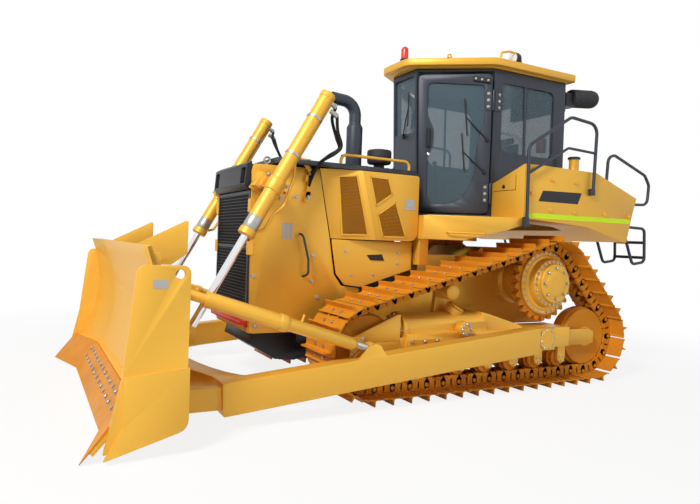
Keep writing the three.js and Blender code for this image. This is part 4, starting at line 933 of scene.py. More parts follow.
@dataclass
class TrackGroup:
    """One side's track: shoes, links, wheels and rollers."""

    side: Side
    middle_y: float = 0.94
    shoe_count: int = 43
    shoe_half: float = 0.28
    plate_rise: float = 0.05
    plate: float = 0.012
    grouser: float = 0.055
    wheel_radius: float = 0.31
    link_rise: float = 0.065
    front_x: float = 0.13
    rear_x: float = -2.71
    wheel_z: float = 0.48
    sprocket: Wheel = Wheel(-2.12, 1.08, 0.404)
    roller_radius: float = 0.1
    roller_front: float = -0.252
    roller_pitch: float = 0.342
    roller_count: int = 7

    def build(self) -> None:
        """Makes every piece of the side's track."""
        radius = self.wheel_radius + self.link_rise
        front = Wheel(self.front_x, self.wheel_z, radius)
        rear = Wheel(self.rear_x, self.wheel_z, radius)
        self.chain = Chain((front, self.sprocket, rear))
        self.pitch = self.chain.length / self.shoe_count
        self._shoes()
        self._links()
        for x, word in ((self.front_x, "front"), (self.rear_x, "rear")):
            self._idler(x, word)
        self._sprocket()
        self._rollers()
        self._frame_details()

    def _name(self, word: str) -> str:
        """A piece's name on this side."""
        return f"{word}_{self.side.word}"

    def _places(self) -> list[tuple[Vector, Matrix]]:
        """A place on the pin line for each shoe, its local Z pointing out.

        Returns:
            A point and a turn for each shoe.
        """
        places = []
        for index in range(self.shoe_count):
            x, z, way = self.chain.place(index * self.pitch)
            along = Vector((math.cos(way), 0, math.sin(way)))
            out = Vector((math.sin(way), 0, -math.cos(way)))
            turn = Matrix((along, out.cross(along), out)).transposed()
            places.append((self.side.at(x, self.middle_y, z), turn))
        return places

    def _shoes(self) -> None:
        """Bent shoe plates, each with a tapered grouser, and their bolts."""
        low, top, tip = self.plate_rise - self.plate, self.plate_rise, self.plate_rise + self.grouser
        half = self.pitch / 2
        outline = [
            (-half + 0.004, low + 0.004), (half - 0.022, low), (half - 0.004, low - 0.01),
            (half + 0.006, low - 0.004), (half - 0.016, top), (0.02, top), (0.0085, top + 0.01), (0.006, tip),
            (-0.006, tip), (-0.0085, top + 0.01), (-0.02, top), (-half + 0.012, top), (-half, top + 0.01),
            (-half - 0.01, top + 0.004),
        ]
        shoe = Shape()
        shoe.skin([[Vector((x, y, z)) for x, z in outline] for y in (-self.shoe_half, self.shoe_half)])
        names = [f"track_{self.side.word}"]
        scattered(self._name("track_shoes"), shoe, self._places(), Coat.WORN, stands_for=names, smooth=20)
        spots = []
        for point, turn in self._places():
            for x in (-0.05, 0.05):
                for y in (-0.076, 0.076):
                    spots.append((point + turn @ Vector((x, y, top)), turn @ UP))
        bolts(self._name("shoe_bolts"), spots, radius=0.013)

    def _links(self) -> None:
        """The chain's link plates with their pins."""
        half = self.pitch / 2
        top = self.plate_rise - self.plate - 0.001
        link = Shape()
        for y in (-0.074, 0.074):
            for x0, x1, push in ((-half - 0.03, 0.008, 0.01), (-0.008, half + 0.03, -0.01)):
                y0 = y - 0.02 + math.copysign(push, y)
                outline = [
                    (x0, -0.03), (x0 + 0.022, -self.link_rise), (x1 - 0.022, -self.link_rise), (x1, -0.03),
                    (x1, 0.018), (x1 - 0.018, top), (x0 + 0.018, top), (x0, 0.018),
                ]
                rings = [[Vector((x, w, z)) for x, z in outline] for w in (y0, y0 + 0.034)]
                link.skin(rings)
        link.bar(Vector((half, -0.108, 0)), Vector((half, 0.108, 0)), 0.021, 16)
        link.bar(Vector((half, -0.05, 0)), Vector((half, 0.05, 0)), 0.031, 16)
        scattered(self._name("track_links"), link, self._places(), Coat.WORN, smooth=30)

    def _idler(self, x: float, word: str) -> None:
        """An idler: steel rim with its guiding middle, dished disc, hub and cap bolts.

        Args:
            x: the idler's place.
            word: front or rear.
        """
        centre = self.side.at(x, self.middle_y, self.wheel_z)
        r = self.wheel_radius - 0.003
        rim = [
            (0.245, -0.09), (r - 0.004, -0.092), (r, -0.086), (r, -0.046), (r + 0.02, -0.036),
            (r + 0.02, 0.036), (r, 0.046), (r, 0.086), (r - 0.004, 0.092), (0.245, 0.09),
        ]
        node = f"{word}_idler_{self.side.word}"
        Shape().turned(rim, centre, ACROSS, 72).piece(self._name(f"{word}_rim"), Coat.WORN, stands_for=[node])
        disc = [
            (0.262, -0.084), (0.25, -0.07), (0.215, -0.042), (0.14, -0.046), (0.112, -0.08), (0.104, -0.11),
            (0.104, 0.11), (0.112, 0.08), (0.14, 0.046), (0.215, 0.042), (0.25, 0.07), (0.262, 0.084),
        ]
        body = Shape()
        turn = axes_along(ACROSS)
        body.turned([(0.262, -0.088), (0.262, -0.084), *disc[1:6]], centre, ACROSS, 48)
        body.turned([*disc[6:11], (0.262, 0.084), (0.262, 0.088)], centre, ACROSS, 48)
        body.turned([(0.215, -0.045), (0.215, 0.045)], centre, ACROSS, 48)
        for index in range(6):
            angle = math.pi * index / 3 + 0.3
            out = turn @ Vector((math.cos(angle), math.sin(angle), 0))
            for y in (-0.06, 0.06):
                body.bar(centre + ACROSS * y + out * 0.11, centre + ACROSS * y + out * 0.245, 0.013, 10)
        body.turned([(0.07, -0.126), (0.078, -0.118), (0.078, 0.118), (0.07, 0.126)], centre, ACROSS, 32)
        body.piece(self._name(f"{word}_idler_disc"), Coat.YELLOW)
        outer = self.side.value * ACROSS
        spots = bolt_circle(centre + outer * 0.124, outer, 0.052, 6)
        bolts(self._name(f"{word}_idler_bolts"), spots, radius=0.011)

    def _sprocket(self) -> None:
        """The toothed rim, the stepped hub, its cap and their bolts."""
        w = self.sprocket
        centre = self.side.at(w.x, self.middle_y, w.z)
        out = self.side.out
        teeth = 25
        profile = []
        for tooth in range(teeth):
            for share, radius in (
                (0.0, w.radius - 0.033), (0.12, w.radius - 0.036), (0.26, w.radius - 0.03),
                (0.4, w.radius - 0.004), (0.5, w.radius + 0.012), (0.62, w.radius + 0.015),
                (0.76, w.radius + 0.012), (0.88, w.radius - 0.006),
            ):
                angle = (tooth + share) / teeth * 2 * math.pi
                profile.append((w.x + radius * math.cos(angle), w.z + radius * math.sin(angle)))
        y = self.middle_y
        node = f"drive_sprocket_{self.side.word}"
        ends = self.side.span(y - 0.036, y + 0.036)
        Shape().profile(profile, *ends).piece(
            self._name("sprocket_teeth"), Coat.WORN, bevel=0.003, stands_for=[node]
        )
        hub = [
            (0.335, 0.036), (0.345, 0.042), (0.345, 0.058), (0.338, 0.064), (0.3, 0.066), (0.296, 0.072),
            (0.268, 0.08), (0.262, 0.09), (0.256, 0.14), (0.248, 0.15), (0.214, 0.156), (0.208, 0.164),
            (0.206, 0.196), (0.198, 0.204), (0.14, 0.206), (0.134, 0.212), (0.128, 0.214),
        ]
        body = Shape().turned(hub, centre, out, 72)
        body.turned([(0.27, -0.06), (0.33, -0.05), (0.33, 0.037)], centre, out, 60)
        body.piece(self._name("sprocket_hub"), Coat.YELLOW)
        spots = bolt_circle(centre + out * 0.063, out, 0.322, 30)
        spots += bolt_circle(centre + out * 0.153, out, 0.231, 24, 0.05)
        bolts(self._name("sprocket_bolts"), spots, radius=0.011)
        cap = Shape().turned([(0.098, 0.212), (0.098, 0.216), (0.092, 0.2165)], centre, out, 40)
        cap.piece(self._name("sprocket_cap"), Coat.YELLOW)
        bolts(
            self._name("sprocket_cap_bolts"), bolt_circle(centre + out * 0.213, out, 0.165, 8), radius=0.012
        )

    def _rollers(self) -> None:
        """The track rollers, their collars and the collars' bolts."""
        r = self.roller_radius - 0.003
        row = Shape()
        collars = Shape()
        profile = [
            (0.04, -0.102), (r - 0.01, -0.1), (r, -0.094), (r, -0.052), (r + 0.016, -0.048),
            (r + 0.016, -0.036), (r - 0.014, -0.028), (r - 0.014, 0.028), (r + 0.016, 0.036),
            (r + 0.016, 0.048), (r, 0.052), (r, 0.094), (r - 0.01, 0.1), (0.04, 0.102),
        ]
        bolts_at = []
        z = self.wheel_z - self.wheel_radius + self.roller_radius
        for index in range(self.roller_count):
            x = self.roller_front - index * self.roller_pitch
            centre = self.side.at(x, self.middle_y, z)
            row.turned(profile, centre, ACROSS, 36)
            for sign in (-1, 1):
                spot = centre + ACROSS * sign * 0.104
                collars.turned([(0.058, 0.0), (0.058, 0.034), (0.05, 0.044)], spot, ACROSS * sign, 24)
                low = spot + Vector((-0.056, 0, 0.0))
                collars.block(low, spot + Vector((0.056, sign * 0.042, 0.138)))
                bolts_at += bolt_circle(spot + ACROSS * sign * 0.043, ACROSS * sign, 0.034, 3, 0.4)
        node = f"track_rollers_{self.side.word}"
        row.piece(self._name("rollers"), Coat.WORN, stands_for=[node])
        collars.piece(self._name("roller_collars"), Coat.YELLOW, bevel=0.004)
        bolts(self._name("roller_bolts"), bolts_at, radius=0.008)

    def _frame_details(self) -> None:
        """Caps, flanges and bolts on the track frame."""
        s = self.side
        plate = Shape()
        out = s.out
        plate.turned([(0.072, 0.0), (0.072, 0.016), (0.066, 0.02)], s.at(-0.905, 1.158, 0.64), out, 32)
        plate.turned(
            [(0.082, 0.0), (0.082, 0.014), (0.076, 0.018)], s.at(-0.935, 0.973, 0.836),
            Vector((-0.4, 0.4 * s.value, 0.8)), 32,
        )
        plate.block(s.at(0.2, 1.096, 0.43), s.at(0.34, 1.112, 0.61))
        for x in (-1.95, -1.45, -0.62):
            plate.block(s.at(x, 1.12, 0.42), s.at(x + 0.34, 1.128, 0.56))
        plate.piece(self._name("track_frame_caps"), Coat.YELLOW, bevel=0.003)
        spots = bolt_circle(s.at(-0.905, 1.176, 0.64), out, 0.052, 8)
        for x in (-1.95, -1.45, -0.62):
            spots += [(s.at(x + dx, 1.128, z), out) for dx in (0.03, 0.17, 0.31) for z in (0.44, 0.54)]
        spots += [(s.at(x, 1.112, z), out) for x in (0.222, 0.318) for z in (0.45, 0.59)]
        for index in range(8):
            angle = 2 * math.pi * index / 8
            spots.append(
                (
                    s.at(-0.216, 0.94, 0.642) + Vector(
                        (0.003, 0.135 * math.cos(angle), 0.135 * math.sin(angle))
                    ),
                    AHEAD,
                )
            )
        bolts(self._name("track_frame_bolts"), spots, radius=0.013)


# ------------------------------------------------------------------ main body
@dataclass
class Chassis:
    """The main frame, belly, pivots, nose and hitch."""

    door_half: float = 0.497

    def build(self) -> None:
        """Finishes the CAD pieces and adds what is bolted to them."""
        for node in ("main_frame", "equalizer_bar", "radiator_guard", "rear_hitch"):
            kept(node, Coat.YELLOW, 0.005)
        for node in both("track_frame"):
            kept(node, Coat.YELLOW, 0.005)
        kept("pivot_shaft", Coat.STEEL, 0.003)
        kept("belly_guard", Coat.BLACK, 0.004)
        kept("engine_and_radiator", Coat.BLACK, 0.004)
        kept("front_tow_bar", Coat.RED, 0.005)
        self._grille()
        for side in Side:
            self._nose_side(side)

    def _grille(self) -> None:
        """The grille door: its mesh of crossed bars and its frame."""
        kept("grille_door", Coat.BLACK, 0.005)
        face_x, bottom, top = 1.0855, 0.85, 1.85
        half = self.door_half - 0.035
        wire = Shape()
        count = 30
        for index in range(count):
            y = -half + 2 * half * index / (count - 1)
            wire.block(at(face_x, y - 0.003, bottom), at(face_x + 0.008, y + 0.003, top))
        rows = 34
        for index in range(rows):
            z = bottom + (top - bottom) * index / (rows - 1)
            wire.block(at(face_x + 0.001, -half, z - 0.003), at(face_x + 0.009, half, z + 0.003))
        wire.piece("grille_mesh", Coat.BLACK)
        frame_bars = Shape()
        for y in (-half - 0.03, half):
            frame_bars.block(at(face_x - 0.004, y, bottom - 0.036), at(face_x + 0.016, y + 0.03, top + 0.036))
        for z in (bottom - 0.036, 1.345, top + 0.004):
            frame_bars.block(at(face_x - 0.004, -half, z), at(face_x + 0.014, half, z + 0.03))
        frame_bars.piece("grille_frame", Coat.SLATE, bevel=0.003)

    def _nose_side(self, side: Side) -> None:
        """One side of the nose: lifting eye, hose bracket, bolts, handle, plate and grille hinges.

        Args:
            side: the side of the machine.
        """
        s, word = side, side.word
        out = s.out
        eye = Shape().ring(s.at(0.931, 0.45, 2.176), ACROSS, 0.03, 0.01)
        eye.turned([(0.024, 0.0), (0.024, 0.014), (0.014, 0.02)], s.at(0.931, 0.45, 2.125), UP, 24)
        eye.piece(f"nose_eye_{word}", Coat.STEEL)
        strap = Shape()
        outline = [
            (0.658, 2.256), (0.625, 2.214), (0.531, 2.211), (0.56, 2.152), (0.508, 2.111), (0.52, 1.951),
            (0.533, 1.813), (0.57, 1.8), (0.59, 1.82), (0.56, 1.96), (0.552, 2.09), (0.604, 2.15),
            (0.59, 2.178), (0.64, 2.18), (0.69, 2.24),
        ]
        y = s.span(0.56, 0.568)
        strap.profile(outline, *y)
        strap.block(s.at(0.52, 0.53, 1.84), s.at(0.58, 0.568, 1.905))
        strap.block(s.at(0.52, 0.53, 2.0), s.at(0.58, 0.568, 2.06))
        strap.piece(f"hose_bracket_{word}", Coat.YELLOW, bevel=0.002)
        spots = s.spots(0.569, ((0.528, 2.067), (0.532, 2.016), (0.548, 1.849), (0.67, 1.844)))
        spots += s.spots(0.672, ((0.992, 2.022), (1.057, 1.909), (0.811, 1.923), (0.873, 1.813)))
        edge = ((0.46, 1.3), (0.46, 1.05), (0.4, 0.9), (0.62, 0.66), (1.02, 0.64), (1.06, 1.1), (1.07, 1.55))
        spots += s.spots(0.531, edge)
        bolts(f"nose_bolts_{word}", spots, radius=0.015)
        dots = Shape()
        for x, z in ((1.015, 1.964), (0.836, 1.866)):
            dots.turned([(0.012, 0.0), (0.012, 0.008), (0.006, 0.012)], s.at(x, 0.672, z), out, 16)
        dots.piece(f"grease_caps_{word}", Coat.RED)
        tube(
            f"nose_handle_{word}",
            [
                s.line(
                    (0.6, 0.53, 1.5), (0.6, 0.6, 1.49), (0.538, 0.6, 1.261), (0.533, 0.6, 1.124),
                    (0.56, 0.53, 1.1),
                )
            ],
            0.011, Coat.SLATE, bend=0.045,
        )
        sticker = Shape()
        for x in (0.684, 0.722, 0.76):
            sticker.block(s.at(x, 0.53, 1.45), s.at(x + 0.028, 0.5318, 1.6))
        sticker.piece(f"nose_plate_{word}", Coat.PLATE)
        hinge = Shape()
        for z in (1.68, 1.29):
            hinge.block(s.at(1.06, 0.47, z), s.at(1.112, 0.536, z + 0.125))
        hinge.piece(f"grille_hinges_{word}", Coat.YELLOW, bevel=0.006)
        caps = Shape()
        for z in (1.805, 1.415, 1.9):
            caps.turned([(0.013, 0.0), (0.013, 0.012), (0.007, 0.017)], s.at(1.085, 0.503, z), UP, 16)
        caps.piece(f"grille_hinge_caps_{word}", Coat.RED)


@dataclass
class EngineBay:
    """The hood, engine doors and lower covers."""

    side_y: float = 0.65
    nose_y: float = 0.534
    hole: float = 0.007
    cell: float = 0.0092
    overlap: float = 1.001
    sheet: float = 0.0022

    def build(self) -> None:
        """Finishes the covers and adds perforated panels, latches and handles."""
        kept("hood", Coat.SLATE, 0.006)
        for side in Side:
            kept(f"engine_door_{side.word}", Coat.YELLOW, 0.004)
            kept(f"engine_side_cover_{side.word}", Coat.YELLOW, 0.004)
            self._panels(side)
            self._cover_details(side)
        self._hood_details()

    def _cell(self) -> Shape:
        """One six-sided ring of perforated sheet, lying in its own XY plane.

        Returns:
            The ring.
        """
        outer, inner = self.cell * self.overlap, self.hole
        section = ((outer, 0.0), (outer, self.sheet), (inner, self.sheet), (inner, 0.0))
        columns = []
        for k in range(6):
            angle = math.pi * (k / 3 + 1 / 6)
            columns.append([Vector((r * math.cos(angle), r * math.sin(angle), z)) for r, z in section])
        return Shape().skin(columns, closed=True)

    def _fill(self, corners: Sequence[Vector]) -> list[tuple[Vector, Matrix]]:
        """Places of the cells inside a flat outline.

        Args:
            corners: the outline's corners.

        Returns:
            A place and a turn for each cell.
        """
        normal = (corners[1] - corners[0]).cross(corners[2] - corners[0]).normalized()
        right = (corners[1] - corners[0]).normalized()
        up = normal.cross(right)
        flat = [((p - corners[0]).dot(right), (p - corners[0]).dot(up)) for p in corners]
        wide, high = self.cell * math.sqrt(3), self.cell * 1.5
        turn = Matrix((right, up, normal)).transposed()
        low_u, top_u = min(u for u, _ in flat), max(u for u, _ in flat)
        low_v, top_v = min(v for _, v in flat), max(v for _, v in flat)
        places = []
        for row in range(int((top_v - low_v) / high) + 1):
            for column in range(int((top_u - low_u) / wide) + 1):
                u = low_u + wide * (column + 0.5 * (row % 2))
                v = low_v + high * row
                if self._inside(flat, u, v):
                    places.append((corners[0] + right * u + up * v, turn))
        return places

    @staticmethod
    def _inside(outline: Outline, u: float, v: float, margin: float = 0.012) -> bool:
        """Whether a flat point lies inside an outline, clear of its edges.

        Args:
            outline: the outline's corners.
            u: the point, along the first axis.
            v: the point, along the second axis.
            margin: how far it must be from each edge.

        Returns:
            Whether it is.
        """
        signs = set()
        for (u0, v0), (u1, v1) in zip(outline, outline[1:] + outline[:1]):
            length = math.hypot(u1 - u0, v1 - v0)
            distance = ((u1 - u0) * (v - v0) - (v1 - v0) * (u - u0)) / length
            if abs(distance) < margin:
                return False
            signs.add(distance > 0)
        return len(signs) == 1

    def _panels(self, side: Side) -> None:
        """The perforated panels of one engine door, with frames and a near-black sheet behind the holes that
        paints the shade of the engine bay.

        Args:
            side: the side of the machine.
        """
        s, word = side, side.word
        front = [(0.243, 2.078), (0.062, 2.094), (-0.088, 1.512), (0.176, 1.508)]
        upper = [(-0.066, 2.096), (-0.286, 2.088), (-0.34, 1.934), (-0.146, 1.802)]
        lower = [(-0.168, 1.722), (-0.38, 1.862), (-0.52, 1.505), (-0.236, 1.502)]
        places, painted_shade_sheet, frames = [], Shape(), Shape()
        for outline, flat in ((front, False), (upper, True), (lower, True)):
            corners = []
            for x, z in outline:
                y = self.side_y if flat else self._front_y(x, z)
                corners.append(s.at(x, y, z))
            if s is Side.RIGHT:
                corners.reverse()
            normal = (corners[2] - corners[0]).cross(corners[1] - corners[0]).normalized()
            if normal.y * s.value < 0:
                normal = -normal
            facing = (corners[1] - corners[0]).cross(corners[2] - corners[0])
            ordered = corners if facing.dot(normal) > 0 else corners[::-1]
            raised = [p + normal * 0.0045 for p in ordered]
            places += self._fill(raised)
            # A near-black sheet just behind the cells is painted shade: it stands for the dark engine bay
            # seen through the holes.
            painted_shade_sheet.sheet([p - normal * 0.0008 for p in ordered], normal * 0.0028)
            centre = sum(ordered, Vector()) / len(ordered)
            for first, second in zip(ordered, ordered[1:] + ordered[:1]):
                inward = normal.cross(second - first).normalized() * 0.012
                if inward.dot(centre - first) < 0:
                    inward = -inward
                frames.sheet([first, second, second + inward, first + inward], normal * 0.009)
        door = f"engine_door_body_{word}"
        scattered(f"door_mesh_{word}", self._cell(), places, Coat.WORN, door, smooth=20)
        # Painted shade behind the holes, in the near-black shadow finish.
        painted_shade_sheet.piece(f"door_mesh_backing_{word}", Coat.DARK, door)
        frames.piece(f"door_mesh_frames_{word}", Coat.YELLOW, door)
        latch = Shape().profile(
            [(-0.494, 1.783), (-0.61, 1.79), (-0.606, 1.897), (-0.498, 1.892)], *s.span(0.65, 0.656)
        )
        latch.profile(
            [(-0.52, 1.815), (-0.585, 1.818), (-0.583, 1.872), (-0.523, 1.87)], *s.span(0.656, 0.662)
        )
        latch.piece(f"door_latch_{word}", Coat.PLATE, door, bevel=0.002)

    def _front_y(self, x: float, z: float) -> float:
        """The front facet's distance from the middle at a point of its side view.

        Args:
            x: the point's x.
            z: the point's height.

        Returns:
            The distance.
        """
        share = (z - 1.47) / 0.67
        crease = -0.163 + 0.175 * share
        front = 0.276 + 0.144 * share
        part = min(max((x - crease) / (front - crease), 0.0), 1.0)
        return self.side_y + (self.nose_y - self.side_y) * part

    def _cover_details(self, side: Side) -> None:
        """Screws and the dark handle on the lower cover.

        Args:
            side: the side of the machine.
        """
        s, word = side, side.word
        face = 0.56
        spots = s.spots(
            face, ((0.124, 1.349), (-0.485, 1.348), (-0.487, 1.24), (0.055, 1.122), (-0.198, 1.124))
        )
        bolts(f"cover_screws_{word}", spots, radius=0.011)
        handle = Shape().profile(
            [(-0.12, 1.319), (-0.294, 1.329), (-0.324, 1.266), (-0.162, 1.269)], *s.span(face, face + 0.01)
        )
        handle.piece(f"cover_handle_{word}", Coat.BLACK, bevel=0.003)

    def _hood_details(self) -> None:
        """Bolts along the hood's edges, seam strips and rails."""
        spots = []
        for side in Side:
            for x in (-0.6, -0.35, -0.1, 0.15, 0.4, 0.65):
                spots.append((side.at(x, 0.52, 2.2005), UP))
        bolts("hood_bolts", spots, radius=0.01)
        strip = Shape()
        for x in (0.3, -0.18):
            strip.block(at(x, -0.55, 2.2002), at(x + 0.012, 0.55, 2.203))
        strip.piece("hood_seams", Coat.BLACK)
        for side in Side:
            line = [
                side.at(0.2, 0.54, 2.192), side.at(0.2, 0.54, 2.292), side.at(-0.6, 0.54, 2.292),
                side.at(-0.6, 0.54, 2.192),
            ]
            tube(f"hood_rail_{side.word}", [line], 0.0155, Coat.YELLOW, bend=0.06)


@dataclass
class Stack:
    """The exhaust stack and the pre-cleaner on the hood."""

    x: float = -0.19
    y: float = 0.09
    base: float = 2.2004
    radius: float = 0.086
    pipe: float = 0.064
    muffler: float = 0.47
    outlet: float = 2.93
    reach: float = 0.29

    def build(self) -> None:
        """Makes both pieces in place of the CAD stand-ins."""
        foot = at(self.x, self.y, self.base)
        r = self.radius
        top = self.muffler
        sleeve = [
            (r + 0.01, 0.0), (r + 0.01, 0.014), (r - 0.001, 0.016), (r, 0.02), (r, top - 0.01),
            (r - 0.002, top), (self.pipe + 0.003, top + 0.03), (self.pipe, top + 0.04),
        ]
        body = Shape().turned(sleeve, foot, UP, 48)
        body.piece("exhaust_sleeve", Coat.SLATE, stands_for=["exhaust_stack"])
        end = at(self.x + self.reach, self.y, self.outlet + 0.02)
        line = [at(self.x, self.y, self.base + top + 0.02), at(self.x, self.y, self.outlet), end]
        tube("exhaust_pipe", [line], self.pipe, Coat.SLATE, bend=0.15, steps=14)
        # A near-black disc on the capped end of the pipe: painted shade standing for the inside of the open
        # pipe.
        mouth = Shape().turned(
            [(self.pipe - 0.006, 0.0), (self.pipe - 0.006, 0.002)], end, Vector((1, 0, 0.07)), 32
        )
        mouth.piece("exhaust_mouth", Coat.DARK)
        bowl = [
            (0.066, 0.0), (0.066, 0.006), (0.058, 0.01), (0.058, 0.078), (0.08, 0.084), (0.116, 0.088),
            (0.124, 0.096), (0.13, 0.112), (0.13, 0.146), (0.126, 0.15), (0.131, 0.156), (0.131, 0.218),
            (0.122, 0.234), (0.08, 0.243), (0.03, 0.247),
        ]
        spot = at(-0.45, 0.19, self.base)
        cleaner = Shape().turned(bowl, spot, UP, 56)
        cleaner.ring(spot + UP * 0.15, UP, 0.128, 0.004, 48)
        cleaner.piece("precleaner_bowl", Coat.PLASTIC, stands_for=["precleaner"])


# ------------------------------------------------------------------ cab
@dataclass
class Cab:
    """The cab, its glass, doors and roof fittings."""

    roof: float = 3.465
    front: tuple[float, float] = (-0.93, 0.228)
    hinge: tuple[float, float] = (-1.55, 0.72)
    lean: float = 0.065
    sill: float = 1.775
    height: float = 1.6

    def build(self) -> None:
        """Finishes the CAD pieces and adds trims and fittings."""
        kept("cab_shell", Coat.SLATE, 0.006)
        kept("cab_roof", Coat.YELLOW, 0.014)
        for node in ("windscreen", "rear_window", *both("side_window"), *both("cab_door_glass")):
            kept(node, Coat.GLASS, 0.0)
        for side in Side:
            kept(f"cab_door_{side.word}", Coat.SLATE, 0.005)
            self._door_side(side)
        self._roof_fittings()

    def _on_door(self, side: Side, along: float, z: float, out: float = 0.0) -> Vector:
        """A point on the closed door.

        Args:
            side: the side of the machine.
            along: the distance from the cab's front corner.
            z: the height.
            out: how far out from the door's face.

        Returns:
            The point.
        """
        lean = self.lean * (z - self.sill) / self.height
        start, end = side.at(*self.front, z), side.at(*self.hinge, z)
        ahead = (end - start).normalized()
        return start + ahead * along + self._door_normal(side) * (out + lean * abs(ahead.y))

    def _door_normal(self, side: Side) -> Vector:
        """The direction straight out of the closed door.

        Args:
            side: the side of the machine.

        Returns:
            A unit vector.
        """
        along = side.at(*self.hinge, 0.0) - side.at(*self.front, 0.0)
        normal = Vector((abs(along.y), abs(along.x) * side.value, -abs(along.y) * self.lean / self.height))
        return normal.normalized()

    def _door_side(self, side: Side) -> None:
        """Hinges and window bar of one side of the cab.

        Args:
            side: the side of the machine.
        """
        s, word = side, side.word
        out = s.out
        wall = self.hinge[1]
        plates, leaves, knuckle = Shape(), Shape(), Shape()
        spots, door_spots = [], []
        normal = self._door_normal(s)
        for z in (3.025, 2.018):
            corners = [(-1.556, z + 0.11), (-1.655, z + 0.104), (-1.655, z - 0.104), (-1.556, z - 0.11)]
            plates.profile(corners, *s.span(wall + 0.0004, wall + 0.01))
            leaf = [
                self._on_door(s, a, z + dz, 0.0004)
                for a, dz in ((0.7, -0.104), (0.764, -0.11), (0.764, 0.11), (0.7, 0.104))
            ]
            leaves.sheet(leaf, normal * 0.009)
            profile = [(0.012, -0.11), (0.014, -0.106), (0.014, 0.106), (0.012, 0.11)]
            knuckle.turned(profile, s.at(-1.53, 0.732, z), UP, 20)
            for dz in (-0.07, 0.0, 0.07):
                spots.append((s.at(-1.615, wall + 0.01, z + dz), out))
                door_spots.append((self._on_door(s, 0.73, z + dz, 0.009), normal))
        door = f"cab_door_body_{word}"
        plates.piece(f"hinge_plates_{word}", Coat.SLATE, bevel=0.003)
        leaves.piece(f"hinge_leaves_{word}", Coat.SLATE, door, bevel=0.003)
        knuckle.piece(f"hinge_knuckles_{word}", Coat.SLATE)
        bolts(f"hinge_bolts_{word}", spots, radius=0.012)
        bolts(f"door_hinge_bolts_{word}", door_spots, radius=0.012, body=door)
        bar = Shape()
        ends = s.span(wall - 0.018, wall - 0.004)
        bar.profile([(-1.992, 3.26), (-2.022, 3.26), (-2.036, 2.46), (-2.006, 2.46)], *ends)
        bar.piece(f"window_bar_{word}", Coat.SLATE, bevel=0.003)
        self._door_fittings(s, door)

    def _door_fittings(self, s: Side, door: str) -> None:
        """The door's long handle, its wipers and the black bracket above them.

        Args:
            s: the side of the machine.
            door: the door's CAD body.
        """
        normal = self._door_normal(s)
        handle = Shape()
        low, high = self._on_door(s, 0.108, 2.52, 0.028), self._on_door(s, 0.112, 2.72, 0.028)
        handle.bar(low, high, 0.016, 16)
        for end in (low, high):
            handle.bar(end - normal * 0.0276, end, 0.011, 12)
        handle.piece(f"door_handle_{s.word}", Coat.BLACK, door, bevel=0.003)
        lock = Shape().turned(
            [(0.015, 0.0), (0.015, 0.006), (0.01, 0.009)], self._on_door(s, 0.11, 2.44, 0.0004), normal, 20
        )
        lock.piece(f"door_lock_{s.word}", Coat.CHROME, door)
        wipers = Shape()
        for along, z, reach in ((0.73, 2.6, 0.44), (0.712, 2.25, 0.4)):
            pivot = self._on_door(s, along, z, 0.002)
            wipers.turned([(0.022, 0.0), (0.022, 0.018), (0.014, 0.026)], pivot, normal, 18)
            tip = self._on_door(s, along - 0.23, z + reach * 0.55, 0.022)
            wipers.bar(pivot + normal * 0.018, tip, 0.007, 8)
            ends = [
                self._on_door(s, along - 0.23 + shift, z + reach * 0.55 + rise, 0.012)
                for shift, rise in ((0.02, -0.2), (-0.02, 0.2))
            ]
            wipers.bar(ends[0], ends[1], 0.008, 8)
        wipers.piece(f"door_wipers_{s.word}", Coat.BLACK, door)
        bracket = Shape()
        corners = [
            self._on_door(s, a, z, 0.0004)
            for a, z in ((0.56, 3.235), (0.75, 3.205), (0.75, 3.255), (0.56, 3.285))
        ]
        bracket.sheet(corners, normal * 0.022)
        bracket.piece(f"door_bracket_{s.word}", Coat.BLACK, door, bevel=0.004)
        spots = [
            (self._on_door(s, a, 3.272 - (a - 0.56) * 0.16, 0.0224), normal) for a in (0.59, 0.655, 0.72)
        ]
        bolts(
            f"door_bracket_bolts_{s.word}", [(p - Vector((0, 0, 0.012)), n) for p, n in spots], radius=0.009,
            body=door,
        )

    def _roof_fittings(self) -> None:
        """The beacon, work lamp with its guard, lifting eyes and wiper."""
        spot = at(-0.805, 0.075, self.roof + 0.0004)
        base = Shape().turned([(0.05, 0.0), (0.05, 0.038), (0.044, 0.046)], spot, UP, 32)
        base.piece("beacon_base", Coat.PLASTIC, stands_for=["beacon"])
        dome = [
            (0.041, 0.044), (0.0415, 0.05), (0.041, 0.146), (0.037, 0.162), (0.028, 0.175), (0.015, 0.183),
            (0.003, 0.1855),
        ]
        Shape().turned(dome, spot, UP, 36).piece("beacon_dome", Coat.LENS)
        ribs = Shape()
        for index in range(5):
            ribs.ring(spot + UP * (0.062 + 0.018 * index), UP, 0.0412, 0.0012, 32)
        ribs.piece("beacon_ribs", Coat.LENS)
        eyes = Shape()
        for side in Side:
            for x, y in ((-1.1, 0.5), (-2.58, 0.68)):
                eyes.ring(side.at(x, y, self.roof + 0.02), ACROSS, 0.022, 0.008, 24)
                eyes.block(
                    side.at(x - 0.03, y - 0.012, self.roof - 0.001),
                    side.at(x + 0.03, y + 0.012, self.roof + 0.01),
                )
        eyes.piece("roof_eyes", Coat.YELLOW)
        for side in Side:
            self._lamp(side)
        wiper = Shape()
        wiper.block(at(-0.892, -0.02, 2.64), at(-0.866, 0.01, 2.69))
        wiper.bar(at(-0.872, 0.0, 2.665), at(-0.852, 0.11, 2.96), 0.006, 10)
        wiper.bar(at(-0.862, 0.1, 2.76), at(-0.848, 0.124, 3.14), 0.008, 10)
        wiper.piece("front_wiper", Coat.BLACK)

